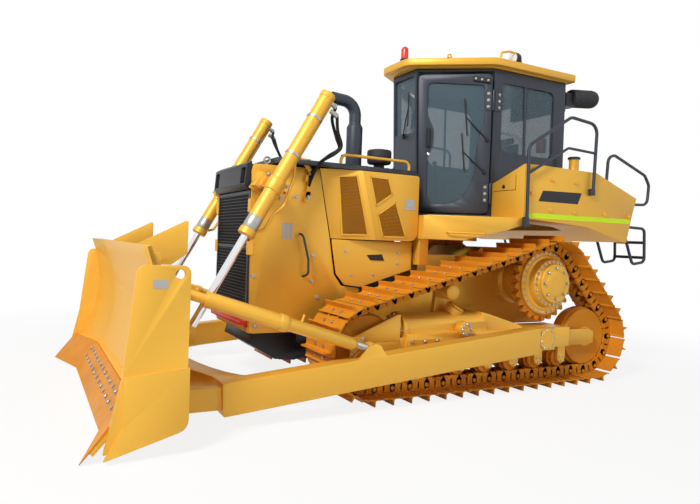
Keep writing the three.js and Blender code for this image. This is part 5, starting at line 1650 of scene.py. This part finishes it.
    def _lamp(self, side: Side) -> None:
        """A work lamp at the roof's edge, facing forward, with its curved guard.

        Args:
            side: the side of the machine.
        """
        s, word = side, side.word
        centre = s.at(-1.8, 0.74, self.roof + 0.05)
        body = Shape().turned(
            [(0.036, -0.06), (0.062, -0.04), (0.069, 0.0), (0.069, 0.02)], centre, AHEAD, 32
        )
        body.block(centre + Vector((-0.02, -0.014, -0.05)), centre + Vector((0.014, 0.014, -0.03)))
        body.piece(f"roof_lamp_{word}", Coat.BLACK)
        Shape().turned(
            [(0.062, 0.019), (0.062, 0.023), (0.05, 0.026)], centre, AHEAD, 32
        ).piece(f"roof_lamp_glass_{word}", Coat.LAMP)
        line = s.line(
            (-1.88, 0.765, self.roof - 0.004), (-1.855, 0.765, self.roof + 0.1),
            (-1.7, 0.765, self.roof + 0.108), (-1.59, 0.765, self.roof + 0.08),
            (-1.57, 0.765, self.roof - 0.004),
        )
        tube(f"roof_lamp_guard_{word}", [line], 0.012, Coat.YELLOW, bend=0.04)


@dataclass
class CabInside:
    """What is seen through the glass: seat, consoles, levers and extinguisher."""

    seat_x: float = -2.1
    floor: float = 1.7874

    def build(self) -> None:
        """Makes the seat, the controls and the small fittings."""
        kept("cab_controls", Coat.PLASTIC, 0.018)
        self._seat()
        self._controls()

    def _cushion(self, rows: list[tuple[Vector, Vector]], half: float, crown: float) -> Shape:
        """A soft closed cushion between a back line and a front line.

        Args:
            rows: pairs of points, below and above, along the cushion.
            half: its half width.
            crown: how far its middle bulges.

        Returns:
            The cushion.
        """
        steps = 10
        rings = []
        for index in range(steps + 1):
            share = index / steps * 2 - 1
            y = half * math.sin(share * math.pi / 2)
            puff = math.sqrt(max(1 - share**2, 0.0))
            ring = []
            lows = [low for low, _ in rows]
            highs = [high for _, high in rows]
            for low, high in zip(lows, highs):
                middle_point = (low + high) / 2
                ring.append(middle_point + (low - middle_point) * (0.55 + 0.45 * puff) + Vector((0, y, 0)))
            for low, high in reversed(list(zip(lows, highs))):
                middle_point = (low + high) / 2
                lift = (high - middle_point) * (0.55 + 0.45 * puff) * (1 + crown * puff)
                ring.append(middle_point + lift + Vector((0, y, 0)))
            rings.append(ring)
        return Shape().skin(rings)

    def _seat(self) -> None:
        """The suspension base, the cushions, arm rests and head rest."""
        x, z = self.seat_x, self.floor
        base = Shape().block(at(x - 0.18, -0.17, z), at(x + 0.18, 0.17, z + 0.09))
        for index in range(6):
            grow = 0.012 * (index % 2)
            low = z + 0.09 + index * 0.026
            base.block(at(x - 0.16 - grow, -0.15 - grow, low), at(x + 0.16 + grow, 0.15 + grow, low + 0.026))
        base.block(at(x - 0.2, -0.2, z + 0.246), at(x + 0.22, 0.2, z + 0.275))
        base.piece("seat_base", Coat.PLASTIC, bevel=0.004, stands_for=["operator_seat"])
        bottom = [
            (at(x - 0.235, 0, z + 0.29), at(x - 0.235, 0, z + 0.37)),
            (at(x - 0.16, 0, z + 0.282), at(x - 0.16, 0, z + 0.402)),
            (at(x, 0, z + 0.28), at(x, 0, z + 0.405)),
            (at(x + 0.17, 0, z + 0.282), at(x + 0.17, 0, z + 0.412)),
            (at(x + 0.25, 0, z + 0.3), at(x + 0.25, 0, z + 0.385)),
        ]
        seat = self._cushion(bottom, 0.25, 0.06).piece("seat_cushion", Coat.CLOTH, smooth=70)
        back_rows = []
        for share, depth in ((0.0, 0.05), (0.12, 0.1), (0.35, 0.11), (0.62, 0.1), (0.8, 0.085), (0.88, 0.04)):
            spot = at(x - 0.225 - 0.075 * share, 0, z + 0.425 + 0.56 * share)
            lean = Vector((1, 0, 0.14)).normalized()
            back_rows.append((spot - lean * depth / 2, spot + lean * depth / 2))
        back = self._cushion(back_rows, 0.235, 0.1).piece("seat_back", Coat.CLOTH, smooth=70)
        head_rows = []
        for share, depth in ((0.0, 0.04), (0.3, 0.085), (0.7, 0.08), (1.0, 0.035)):
            spot = at(x - 0.3 - 0.01 * share, 0, z + 0.935 + 0.075 * share)
            head_rows.append((spot - Vector((depth / 2, 0, 0)), spot + Vector((depth / 2, 0, 0))))
        head = self._cushion(head_rows, 0.13, 0.06).piece("seat_head_rest", Coat.CLOTH, smooth=70)
        arms = Shape()
        for sign in (-1, 1):
            arms.block(at(x - 0.22, sign * 0.27, z + 0.56), at(x + 0.12, sign * 0.32, z + 0.61))
        arms.piece("seat_arms", Coat.PLASTIC, bevel=0.014)

    def _controls(self) -> None:
        """Joystick grips, a monitor, the extinguisher, the inside mirror and a belt buckle."""
        z = self.floor
        grips = Shape()
        for sign in (-1, 1):
            start = at(-1.68, sign * 0.445, z + 0.6)
            grips.turned(
                [(0.016, 0.0), (0.024, 0.02), (0.022, 0.06), (0.03, 0.085), (0.024, 0.105), (0.01, 0.112)],
                start, Vector((0.2, 0, 1)), 24,
            )
            grips.turned(
                [(0.046, 0.0), (0.04, 0.02), (0.022, 0.05)], at(-1.7, sign * 0.445, z + 0.52),
                Vector((0.1, 0, 1)), 24,
            )
        grips.piece("joysticks", Coat.RUBBER)
        panel = Shape().block(at(-1.13, -0.12, 2.47), at(-1.09, 0.12, 2.63))
        panel.bar(at(-1.11, 0.0, 2.38), at(-1.11, 0.0, 2.48), 0.016, 12)
        panel.piece("monitor", Coat.PLASTIC, bevel=0.006)
        Shape().block(at(-1.1315, -0.105, 2.485), at(-1.13, 0.105, 2.615)).piece("monitor_glass", Coat.LAMP)
        bottle = Shape().turned(
            [(0.05, 0.0), (0.056, 0.012), (0.056, 0.15), (0.046, 0.178), (0.018, 0.192), (0.018, 0.21)],
            at(-2.5, 0.5, 2.58), UP, 28,
        )
        bottle.piece("extinguisher", Coat.RED)
        mirror = Shape().block(at(-0.965, -0.12, 3.18), at(-0.945, 0.12, 3.25))
        mirror.piece("inside_mirror", Coat.PLASTIC, bevel=0.006)
        belt = Shape().block(at(-2.14, 0.262, 2.18), at(-2.1, 0.27, 2.31))
        belt.piece("belt_buckle", Coat.RED, bevel=0.003)


# ------------------------------------------------------------------ rear
@dataclass
class Rear:
    """Fenders, tank, rails, rear frame and the air unit."""

    rail_y: float = 1.24
    rail: float = 0.017

    def build(self) -> None:
        """Finishes the tank and fenders and builds the rails from tubes."""
        kept("fuel_tank", Coat.YELLOW, 0.012)
        for side in Side:
            kept(f"fender_{side.word}", Coat.YELLOW, 0.008)
            self._rails(side)
            self._tank_side(side)
            self._fender_side(side)
        self._rear_tread()
        self._air_unit()
        cap = [(0.067, 0.0), (0.068, 0.006), (0.068, 0.02), (0.06, 0.028), (0.02, 0.03)]
        Shape().turned(cap, at(-2.6, 0.9, 2.468), UP, 32).piece("filler_cap", Coat.BLACK)

    def _rails(self, side: Side) -> None:
        """The handrails and the frame behind one corner of the tank.

        Args:
            side: the side of the machine.
        """
        s, word, y = side, side.word, self.rail_y
        main = s.line(
            (-1.568, y, 1.68), (-1.561, y, 2.48), (-2.146, y, 2.836), (-2.543, y, 2.8), (-2.515, y, 2.06)
        )
        tube(
            f"handrail_{word}_main", [main], self.rail, Coat.SLATE, bend=0.11, stands_for=[f"handrail_{word}"]
        )
        middle_rail = s.line((-1.566, y, 2.2), (-2.12, y, 2.51), (-2.526, y, 2.494))
        tube(f"handrail_{word}_middle", [middle_rail], self.rail - 0.003, Coat.SLATE, bend=0.08)
        feet = Shape().block(s.at(-1.6, 1.2004, 1.66), s.at(-1.54, y + 0.004, 1.76))
        feet.block(s.at(-2.548, 1.2004, 2.04), s.at(-2.484, y + 0.004, 2.11))
        feet.piece(f"handrail_{word}_feet", Coat.SLATE, bevel=0.005)
        x = -3.33
        loop = s.line(
            (-3.02, 1.0, 2.156), (-3.044, 1.0, 2.53), (-3.15, 1.0, 2.56), (-3.7, 1.0, 2.37),
            (-3.782, 1.0, 2.26), (-3.76, 1.0, 2.02), (x, 1.0, 2.0),
        )
        tube(f"rear_loop_{word}", [loop], self.rail, Coat.SLATE, bend=0.09, stands_for=[f"rear_steps_{word}"])
        lines = [s.line((x, 0.576, z), (x, 1.024, z)) for z in (1.74, 2.0)]
        tube(f"rear_cross_{word}", lines, self.rail + 0.006, Coat.SLATE)
        lines = [s.line((x, v, 1.74), (x, v, 2.0)) for v in (0.6, 1.0)]
        tube(f"rear_uprights_{word}", lines, self.rail - 0.003, Coat.SLATE)
        stiles = [
            s.line((x, v, 1.74), (x - 0.4, v, 1.73), (x - 0.42, v, 1.33), (x - 0.2, v, 1.3), (x, v, 1.74))
            for v in (0.6, 1.0)
        ]
        tube(f"rear_stiles_{word}", stiles, self.rail, Coat.SLATE, bend=0.06)
        steps = Shape()
        for z in (1.38, 1.56):
            steps.block(s.at(x - 0.425, 0.6, z - 0.015), s.at(x - 0.385, 1.0, z + 0.015))
            for index in range(12):
                y0 = 0.615 + index * 0.032
                steps.block(s.at(x - 0.422, y0, z + 0.015), s.at(x - 0.388, y0 + 0.01, z + 0.02))
        steps.piece(f"rear_step_treads_{word}", Coat.SLATE, bevel=0.002)

    def _tank_side(self, side: Side) -> None:
        """Bolts, blank plate, stripe and seams on the tank's side.

        Args:
            side: the side of the machine.
        """
        s, word = side, side.word
        face = 1.2002
        upper = ((-1.938, 2.166), (-2.293, 2.163), (-1.66, 2.005))
        lower = ((-1.93, 1.848), (-2.288, 1.845), (-2.758, 1.848), (-3.16, 1.842))
        spots = s.spots(face, upper + lower)
        bolts(f"tank_bolts_{word}", spots, Coat.YELLOW, radius=0.02)
        plate = Shape().profile(
            [(-1.758, 1.934), (-1.818, 2.046), (-2.388, 2.057), (-2.332, 1.935)], *s.span(face, face + 0.002)
        )
        plate.piece(f"tank_plate_{word}", Coat.BLACK)
        stripe = Shape().profile(
            [(-1.612, 1.808), (-1.614, 1.758), (-3.18, 1.762), (-3.19, 1.812)], *s.span(face, face + 0.0015)
        )
        stripe.piece(f"tank_stripe_{word}", Coat.STRIPE)
        seams = Shape()
        front = -1.5602
        seams.block(s.at(front, 0.76, 2.04), s.at(front + 0.0012, 1.08, 2.046))
        seams.block(s.at(front, 1.074, 2.04), s.at(front + 0.0012, 1.08, 2.2))
        seams.turned([(0.02, 0.0), (0.02, 0.006), (0.014, 0.01)], s.at(front, 0.905, 2.085), AHEAD, 20)
        seams.piece(f"box_lid_{word}", Coat.BLACK)

    def _fender_side(self, side: Side) -> None:
        """The grab bar on the fender.

        Args:
            side: the side of the machine.
        """
        s, word = side, side.word
        line = s.line((-0.87, 0.85, 1.576), (-0.85, 0.905, 1.576), (-1.17, 1.12, 1.574), (-1.18, 1.06, 1.574))
        tube(f"fender_bar_{word}", [line], 0.01, Coat.YELLOW, bend=0.03)

    def _rear_tread(self) -> None:
        """Raised tread pads on the tank's flat top."""
        pads = []
        flat = Matrix.Identity(3)
        pad = Shape()
        pad.turned([(0.018, 0.0), (0.015, 0.003), (0.008, 0.004)], Vector(), UP, 12)
        lean = (2.292 - 2.305) / (-2.61 + 1.75)
        for side in Side:
            for row in range(9):
                for column in range(3):
                    x = -2.02 - row * 0.05
                    z = 2.305 + (x + 1.75) * lean
                    pads.append((side.at(x, 1.07 + column * 0.045, z - 0.0005), flat))
        scattered("tank_treads", pad, pads, Coat.BLACK, smooth=40)

    def _air_unit(self) -> None:
        """The air unit behind the cab: mounting plate, ribbed drum and neck."""
        x = -2.6254
        body = Shape().block(at(x - 0.06, -0.16, 3.06), at(x, 0.68, 3.3))
        body.block(at(x - 0.21, 0.56, 3.13), at(x - 0.05, 0.69, 3.29))
        body.piece("air_unit_mount", Coat.BLACK, bevel=0.01, stands_for=["rear_air_unit"])
        start, end = at(x - 0.17, 0.64, 3.24), at(x - 0.56, 0.64, 3.28)
        profile = [(0.09, 0.0), (0.101, 0.008)]
        length = (end - start).length
        count = 9
        for index in range(count):
            low = 0.02 + index * (length - 0.06) / count
            profile += [(0.101, low), (0.107, low + 0.006), (0.107, low + 0.02), (0.101, low + 0.026)]
        profile += [(0.101, length - 0.02), (0.094, length - 0.006), (0.072, length)]
        Shape().turned(profile, start, end - start, 48).piece("air_unit_drum", Coat.PLASTIC)


# ------------------------------------------------------------------ blade and its linkage
@dataclass
class Blade:
    """The blade, its edge, push arms and braces."""

    body: str = "blade_group"
    face_foot: float = 1.7525
    face_lean: float = 0.0464

    def build(self) -> None:
        """Finishes the CAD pieces and adds bolts, blank plates and the braces' fittings."""
        kept("blade", Coat.YELLOW, 0.005)
        kept("cutting_edge", Coat.WORN, 0.003)
        for node in both("push_arm"):
            kept(node, Coat.YELLOW, 0.008)
        for node in both("blade_brace"):
            kept(node, Coat.YELLOW, 0.004)
        for side in Side:
            self._end_plate(side)
            self._brace(side)
            self._arm(side)
        self._edge_bolts()

    def _end_plate(self, side: Side) -> None:
        """The blank plate on the end plate.

        Args:
            side: the side of the machine.
        """
        s, word = side, side.word
        x0, x1, z0, z1 = 2.066, 2.163, 1.098, 1.153
        y0, y1 = (self.face_foot - self.face_lean * z for z in (z0, z1))
        plate = Shape().sheet(s.line((x0, y0, z0), (x1, y0, z0), (x1, y1, z1), (x0, y1, z1)), s.out * 0.0015)
        plate.piece(f"end_plate_label_{word}", Coat.PLATE, self.body)

    def _brace(self, side: Side) -> None:
        """The collar, the thread and the lever on the brace.

        Args:
            side: the side of the machine.
        """
        s, word = side, side.word
        rear, front = s.at(0.25, 1.33, 0.535), s.at(1.9, 1.29, 1.04)
        along = (front - rear).normalized()
        length = (front - rear).length
        collar, thread, lever_foot = (rear + along * length * share for share in (0.105, 0.035, 0.4))
        rings = Shape()
        rings.turned([(0.036, 0.0), (0.044, 0.008), (0.044, 0.03), (0.036, 0.038)], collar, along, 32)
        for index in range(14):
            rings.turned(
                [(0.0325, 0.0), (0.0345, 0.003), (0.0325, 0.006)], thread + along * index * 0.008, along, 20
            )
        rings.piece(f"brace_thread_{word}", Coat.STEEL, self.body)
        lever = Shape().bar(lever_foot + UP * 0.05, lever_foot + Vector((-0.02, 0, 0.11)), 0.01, 12)
        lever.piece(f"brace_lever_{word}", Coat.YELLOW, self.body)

    def _arm(self, side: Side) -> None:
        """The trunnion's ring and its bolts.

        Args:
            side: the side of the machine.
        """
        s, word = side, side.word
        out = s.out
        centre = s.at(-1.76, 1.378, 0.545)
        ring = Shape()
        ring.turned([(0.104, 0.0), (0.104, 0.012), (0.098, 0.016), (0.082, 0.016)], centre, out, 40)
        ring.piece(f"trunnion_ring_{word}", Coat.YELLOW, self.body, bevel=0.0)
        bolts(
            f"trunnion_bolts_{word}", bolt_circle(centre + out * 0.014, out, 0.092, 8, 0.2), body=self.body,
            radius=0.01,
        )

    def _edge_bolts(self) -> None:
        """The row of bolts along the cutting edge."""
        x0, z0, x1, z1 = 2.186, 0.262, 2.392, 0.008
        length = math.hypot(x1 - x0, z1 - z0)
        nx, nz = (z0 - z1) / length, (x1 - x0) / length
        spots = []
        for share in (0.22, 0.5):
            for index in range(13):
                y = -1.02 + index * 0.17
                thick = 0.028 + (0.006 - 0.028) * share
                x = x0 + (x1 - x0) * share + nx * thick
                z = z0 + (z1 - z0) * share + nz * thick
                spots.append((at(x, y, z), Vector((nx, 0, nz))))
        bolts("edge_bolts", spots, body=self.body, radius=0.017)


@dataclass
class LiftCylinder:
    """One lift cylinder: barrel with cap, collar, gland and pipe, and the chromed rod."""

    side: Side
    y: float = 0.78
    yoke: tuple[float, float] = (0.975, 1.918)
    eye: tuple[float, float] = (1.695, 0.65)
    radius: float = 0.0725
    above: float = 1.005
    below: float = 0.52
    pipe: float = 0.013
    hose: float = 0.015
    hose_sides: int = 14

    def spot(self, down: float, y: float | None = None) -> Vector:
        """A point on the cylinder's axis, at a distance below the yoke.

        Args:
            down: the distance below the yoke.
            y: the distance from the middle, if not the cylinder's own.

        Returns:
            The point.
        """
        dx, dz = self.eye[0] - self.yoke[0], self.eye[1] - self.yoke[1]
        share = down / math.hypot(dx, dz)
        return self.side.at(self.yoke[0] + dx * share, self.y if y is None else y, self.yoke[1] + dz * share)

    def build(self) -> None:
        """Makes the barrel, its fittings and hoses, and finishes the rod."""
        word = self.side.word
        barrel_body = f"lift_barrel_body_{word}"
        r = self.radius
        start = self.spot(-self.above)
        axis = self.spot(1.0) - self.spot(0.0)
        profile = [
            (r - 0.012, 0.0), (r - 0.002, 0.004), (r, 0.012), (r, 0.052), (r - 0.005, 0.058),
            (r - 0.005, self.above - 0.066), (r + 0.004, self.above - 0.06), (r + 0.007, self.above - 0.052),
            (r + 0.007, self.above + 0.052), (r + 0.004, self.above + 0.06), (r - 0.005, self.above + 0.066),
            (r - 0.005, self.above + 0.33),
        ]
        body = Shape().turned(profile, start, axis, 56)
        body.turned([(0.038, 0.0), (0.038, 0.11)], self.spot(0.0, 0.722), -self.side.out, 32)
        body.piece(f"barrel_{word}", Coat.YELLOW, barrel_body, stands_for=[f"lift_barrel_{word}"])
        polished = Shape().turned(
            [
                (r - 0.006, self.above + 0.329), (r - 0.004, self.above + 0.332),
                (r - 0.004, self.above + 0.452), (r - 0.006, self.above + 0.455),
            ],
            start, axis, 56,
        )
        polished.piece(f"barrel_band_{word}", Coat.STEEL, barrel_body)
        total = self.above + self.below
        gland = Shape().turned(
            [
                (r - 0.004, total - 0.068), (r + 0.004, total - 0.062), (r + 0.005, total - 0.01),
                (r - 0.002, total - 0.002), (0.04, total),
            ],
            start, axis, 56,
        )
        gland.piece(f"barrel_gland_{word}", Coat.YELLOW, barrel_body)
        self._pipe(barrel_body)
        kept(f"lift_rod_{word}", Coat.CHROME, 0.0)
        soften(bpy.data.objects[f"lift_rod_{word}"].data, 30)
        self._hoses()

    def _pipe(self, body: str) -> None:
        """The pipe from the elbows to the gland, the two clamps and the elbows.

        Args:
            body: the barrel's CAD body.
        """
        s, word, y = self.side, self.side.word, self.y
        line = s.line(
            (0.462, y, 2.684), (0.503, y, 2.615), (0.69, y, 2.29), (0.79, y, 2.13), (0.795, y, 2.0),
            (0.885, y, 1.74), (0.975, y, 1.665), (1.065, y, 1.518), (1.139, y, 1.504),
        )
        tube(f"barrel_pipe_{word}", [line], self.pipe, Coat.YELLOW, body, bend=0.05)
        clamps = Shape()
        for down in (-0.74, -0.34):
            clamps.band(
                self.spot(down), self.spot(1.0) - self.spot(0.0), self.radius - 0.01, self.radius + 0.001,
                0.028,
            )
        clamps.piece(f"barrel_clamps_{word}", Coat.STEEL, body)
        elbow = Shape()
        for start in s.line((0.47, y, 2.72), (0.455, y, 2.64)):
            profile = [(0.022, 0.0), (0.022, 0.055), (0.026, 0.056), (0.026, 0.08)]
            elbow.turned(profile, start, Vector((-0.85, 0, -0.5)), 20)
        elbow.piece(f"barrel_elbows_{word}", Coat.STEEL, body)

    def _hoses(self) -> None:
        """The two hoses from the nose to the barrel's elbows.
        """
        s, word = self.side, self.side.word
        first = s.line(
            (0.4, 0.78, 2.684), (0.416, 0.74, 2.577), (0.345, 0.705, 2.415), (0.305, 0.69, 2.32),
            (0.385, 0.64, 2.25), (0.485, 0.585, 2.15), (0.54, 0.56, 2.04),
        )
        second = s.line(
            (0.386, 0.78, 2.604), (0.354, 0.745, 2.471), (0.3, 0.725, 2.34), (0.355, 0.7, 2.265),
            (0.465, 0.65, 2.185), (0.525, 0.6, 2.06), (0.545, 0.56, 1.955),
        )
        for number, line in enumerate((first, second)):
            self._hose(f"lift_hose_{number}_{word}", line)

    def _hose(self, name: str, corners: list[Vector]) -> None:
        """One hose that bends between the nose and the barrel.

        Args:
            name: the hose's name.
            corners: the points that it passes, from the barrel down.
        """
        fine = smooth_line(corners, 40)
        rings = []
        for index, point in enumerate(fine):
            ahead = fine[min(index + 1, len(fine) - 1)] - fine[max(index - 1, 0)]
            ahead.normalize()
            side = ACROSS - ahead * ACROSS.dot(ahead)
            side.normalize()
            up = ahead.cross(side)
            angles = [2 * math.pi * k / self.hose_sides for k in range(self.hose_sides)]
            rings.append([point + (side * math.cos(a) + up * math.sin(a)) * self.hose for a in angles])
        shape = Shape().skin(rings)
        data = bpy.data.meshes.new(name)
        shape.mesh.to_mesh(data)
        shape.mesh.free()
        data.shade_smooth()
        piece = bpy.data.objects.new(name, data)
        bpy.context.scene.collection.objects.link(piece)
        data.materials.append(Coat.RUBBER.value.material())
        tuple(fine[-1])
        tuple(fine[0])
        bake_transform(piece)
        LOG.info("hose %s", name)


def smooth_line(corners: list[Vector], count: int) -> list[Vector]:
    """A smooth line through corners.

    Args:
        corners: the points that it passes.
        count: how many points come back.

    Returns:
        Points along the line, at even parameter steps.
    """
    padded = [corners[0] * 2 - corners[1], *corners, corners[-1] * 2 - corners[-2]]
    spans = len(corners) - 1
    points = []
    for index in range(count + 1):
        place = min(index / count * spans, spans - 1e-9)
        span = int(place)
        t = place - span
        a, b, c, d = padded[span : span + 4]
        points.append(
            0.5 * (2 * b + (c - a) * t + (2 * a - 5 * b + 4 * c - d) * t**2 + (3 * b - a - 3 * c + d) * t**3)
        )
    return points


# ------------------------------------------------------------------ studio
def backdrop_rays(tree: bpy.types.NodeTree, path: bpy.types.Node) -> bpy.types.NodeSocket:
    """One for every ray that shows the backdrop: camera, glossy and transmission rays.

    Args:
        tree: the node tree to add to.
        path: its light path node.

    Returns:
        The sum, held to one.
    """
    total = path.outputs["Is Camera Ray"]
    for name in ("Is Glossy Ray", "Is Transmission Ray"):
        more = tree.nodes.new("ShaderNodeMath")
        more.operation = "ADD"
        more.use_clamp = True
        tree.links.new(total, more.inputs[0])
        tree.links.new(path.outputs[name], more.inputs[1])
        total = more.outputs[0]
    return total


@dataclass
class Studio:
    """The floor, the lights, the white backdrop and the camera."""

    eye: Point = (2.91, 5.646, 1.463)
    yaw: float = 0.47
    pitch: float = -0.002
    roll: float = 0.038
    sensor: float = 36.0
    lens: float = 30.47889
    shift: tuple[float, float] = (0.0324457, -0.0168414)
    whiteness: float = 0.85
    fade: tuple[float, float] = (3.6, 7.5)
    floor_half: float = 30.0
    sky: float = 0.22

    def build(self) -> None:
        """Sets up everything around the machine."""
        self._floor()
        self._world()
        self._lamp("key", (8.0, 5.2, 8.6), (0.0, 0.4, 1.2), 2.2, 1080.0, (1.0, 0.965, 0.91))
        self._lamp("fill", (-5.5, 9.5, 4.5), (-0.4, 0.4, 1.2), 6.0, 70.0, (0.9, 0.95, 1.0))
        self._lamp("rim", (-7.0, -7.0, 7.0), (0.0, 0.0, 1.4), 5.0, 130.0, (0.95, 0.97, 1.0))
        self._camera()
        scene = bpy.context.scene
        scene.view_settings.view_transform = "Standard"
        scene.view_settings.look = "None"

    def _floor(self) -> None:
        """The pale floor under the machine."""
        half = self.floor_half
        data = bpy.data.meshes.new("floor")
        data.from_pydata(
            [(-half, -half, 0), (half, -half, 0), (half, half, 0), (-half, half, 0)], [], [(0, 1, 2, 3)]
        )
        floor = bpy.data.objects.new("floor", data)
        bpy.context.scene.collection.objects.link(floor)
        finish = Graph("floor_paint")
        shade_noise = finish.noise(0.6, 3.0, 0.0, 1.0)
        color = finish.mix(shade_noise, (0.86, 0.86, 0.86, 1), (0.9, 0.9, 0.9, 1))
        paint = finish.add("ShaderNodeBsdfPrincipled", Base_Color=color, Roughness=0.9)
        white = finish.add("ShaderNodeEmission", Color=(1.0, 1.0, 1.0, 1.0), Strength=1.0)
        mix = finish.add("ShaderNodeMixShader")
        path = finish.add("ShaderNodeLightPath")
        place = finish.add("ShaderNodeTexCoord").outputs["Object"]
        reach = finish.add("ShaderNodeVectorMath", {"operation": "LENGTH"})
        finish.tree.links.new(place, reach.inputs[0])
        fade = finish.add("ShaderNodeMapRange", {"clamp": True})
        finish.tree.links.new(reach.outputs["Value"], fade.inputs["Value"])
        for socket, value in (
            ("From Min", self.fade[0]), ("From Max", self.fade[1]), ("To Min", self.whiteness),
            ("To Max", 1.0),
        ):
            fade.inputs[socket].default_value = value
        share = finish.add("ShaderNodeMath", {"operation": "MULTIPLY"})
        finish.tree.links.new(backdrop_rays(finish.tree, path), share.inputs[0])
        finish.tree.links.new(fade.outputs["Result"], share.inputs[1])
        finish.tree.links.new(share.outputs[0], mix.inputs[0])
        finish.tree.links.new(paint.outputs[0], mix.inputs[1])
        finish.tree.links.new(white.outputs[0], mix.inputs[2])
        output = finish.add("ShaderNodeOutputMaterial")
        finish.tree.links.new(mix.outputs[0], output.inputs["Surface"])
        data.materials.append(finish.material)
        floor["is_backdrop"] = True

    def _world(self) -> None:
        """A world that lights softly and looks white to the camera."""
        world = bpy.data.worlds.new("studio")
        bpy.context.scene.world = world
        world.use_nodes = True
        tree = world.node_tree
        tree.nodes.clear()
        path = tree.nodes.new("ShaderNodeLightPath")
        soft = tree.nodes.new("ShaderNodeBackground")
        soft.inputs["Color"].default_value = (0.86, 0.92, 1.0, 1.0)
        soft.inputs["Strength"].default_value = self.sky
        white = tree.nodes.new("ShaderNodeBackground")
        white.inputs["Color"].default_value = (1.0, 1.0, 1.0, 1.0)
        white.inputs["Strength"].default_value = 1.0
        mix = tree.nodes.new("ShaderNodeMixShader")
        output = tree.nodes.new("ShaderNodeOutputWorld")
        seen = backdrop_rays(tree, path)
        tree.links.new(seen, mix.inputs[0])
        tree.links.new(soft.outputs[0], mix.inputs[1])
        tree.links.new(white.outputs[0], mix.inputs[2])
        tree.links.new(mix.outputs[0], output.inputs["Surface"])

    def _lamp(self, name: str, place: Point, aim: Point, size: float, power: float, color: Point) -> None:
        """An area lamp aimed at a point.

        Args:
            name: the lamp's name.
            place: where it hangs.
            aim: what it points at.
            size: its square face's side.
            power: its power in watts.
            color: its colour.
        """
        data = bpy.data.lights.new(name, "AREA")
        data.size = size
        data.energy = power
        data.color = color
        lamp = bpy.data.objects.new(name, data)
        lamp.location = place
        lamp.rotation_euler = (Vector(aim) - Vector(place)).to_track_quat("-Z", "Y").to_euler()
        bpy.context.scene.collection.objects.link(lamp)

    def _camera(self) -> None:
        """The camera at the viewpoint, with a small shift."""
        data = bpy.data.cameras.new("camera")
        data.sensor_width = self.sensor
        data.lens = self.lens
        data.shift_x, data.shift_y = self.shift
        data.clip_start = 0.05
        data.clip_end = 200.0
        data.dof.use_dof = False
        camera = bpy.data.objects.new("camera", data)
        level = math.cos(self.pitch)
        ahead = Vector((-math.sin(self.yaw) * level, -math.cos(self.yaw) * level, math.sin(self.pitch)))
        right = Vector((-math.cos(self.yaw), math.sin(self.yaw), 0))
        up = right.cross(ahead)
        turned_right = right * math.cos(self.roll) + up * math.sin(self.roll)
        turned_up = -right * math.sin(self.roll) + up * math.cos(self.roll)
        turn = Matrix((turned_right, turned_up, -ahead)).transposed()
        camera.location = at(*self.eye)
        camera.rotation_euler = turn.to_euler()
        bpy.context.scene.collection.objects.link(camera)
        bpy.context.scene.camera = camera


def save_sizes() -> None:
    """Works out the CAD box and the finished box side by side."""
    boxes = {"cad": CAD_BOX, "visual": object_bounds()}
    plain = {key: [list(corner) for corner in box] for key, box in boxes.items()}


def main() -> None:
    """Builds the machine's looks piece by piece."""
    for side in Side:
        TrackGroup(side).build()
    Chassis().build()
    EngineBay().build()
    Stack().build()
    Cab().build()
    CabInside().build()
    Rear().build()
    Blade().build()
    for side in Side:
        LiftCylinder(side).build()
    Studio().build()
    save_sizes()


if __name__ == "__main__":
    logging.basicConfig(level=logging.INFO, format="%(message)s")
    main()
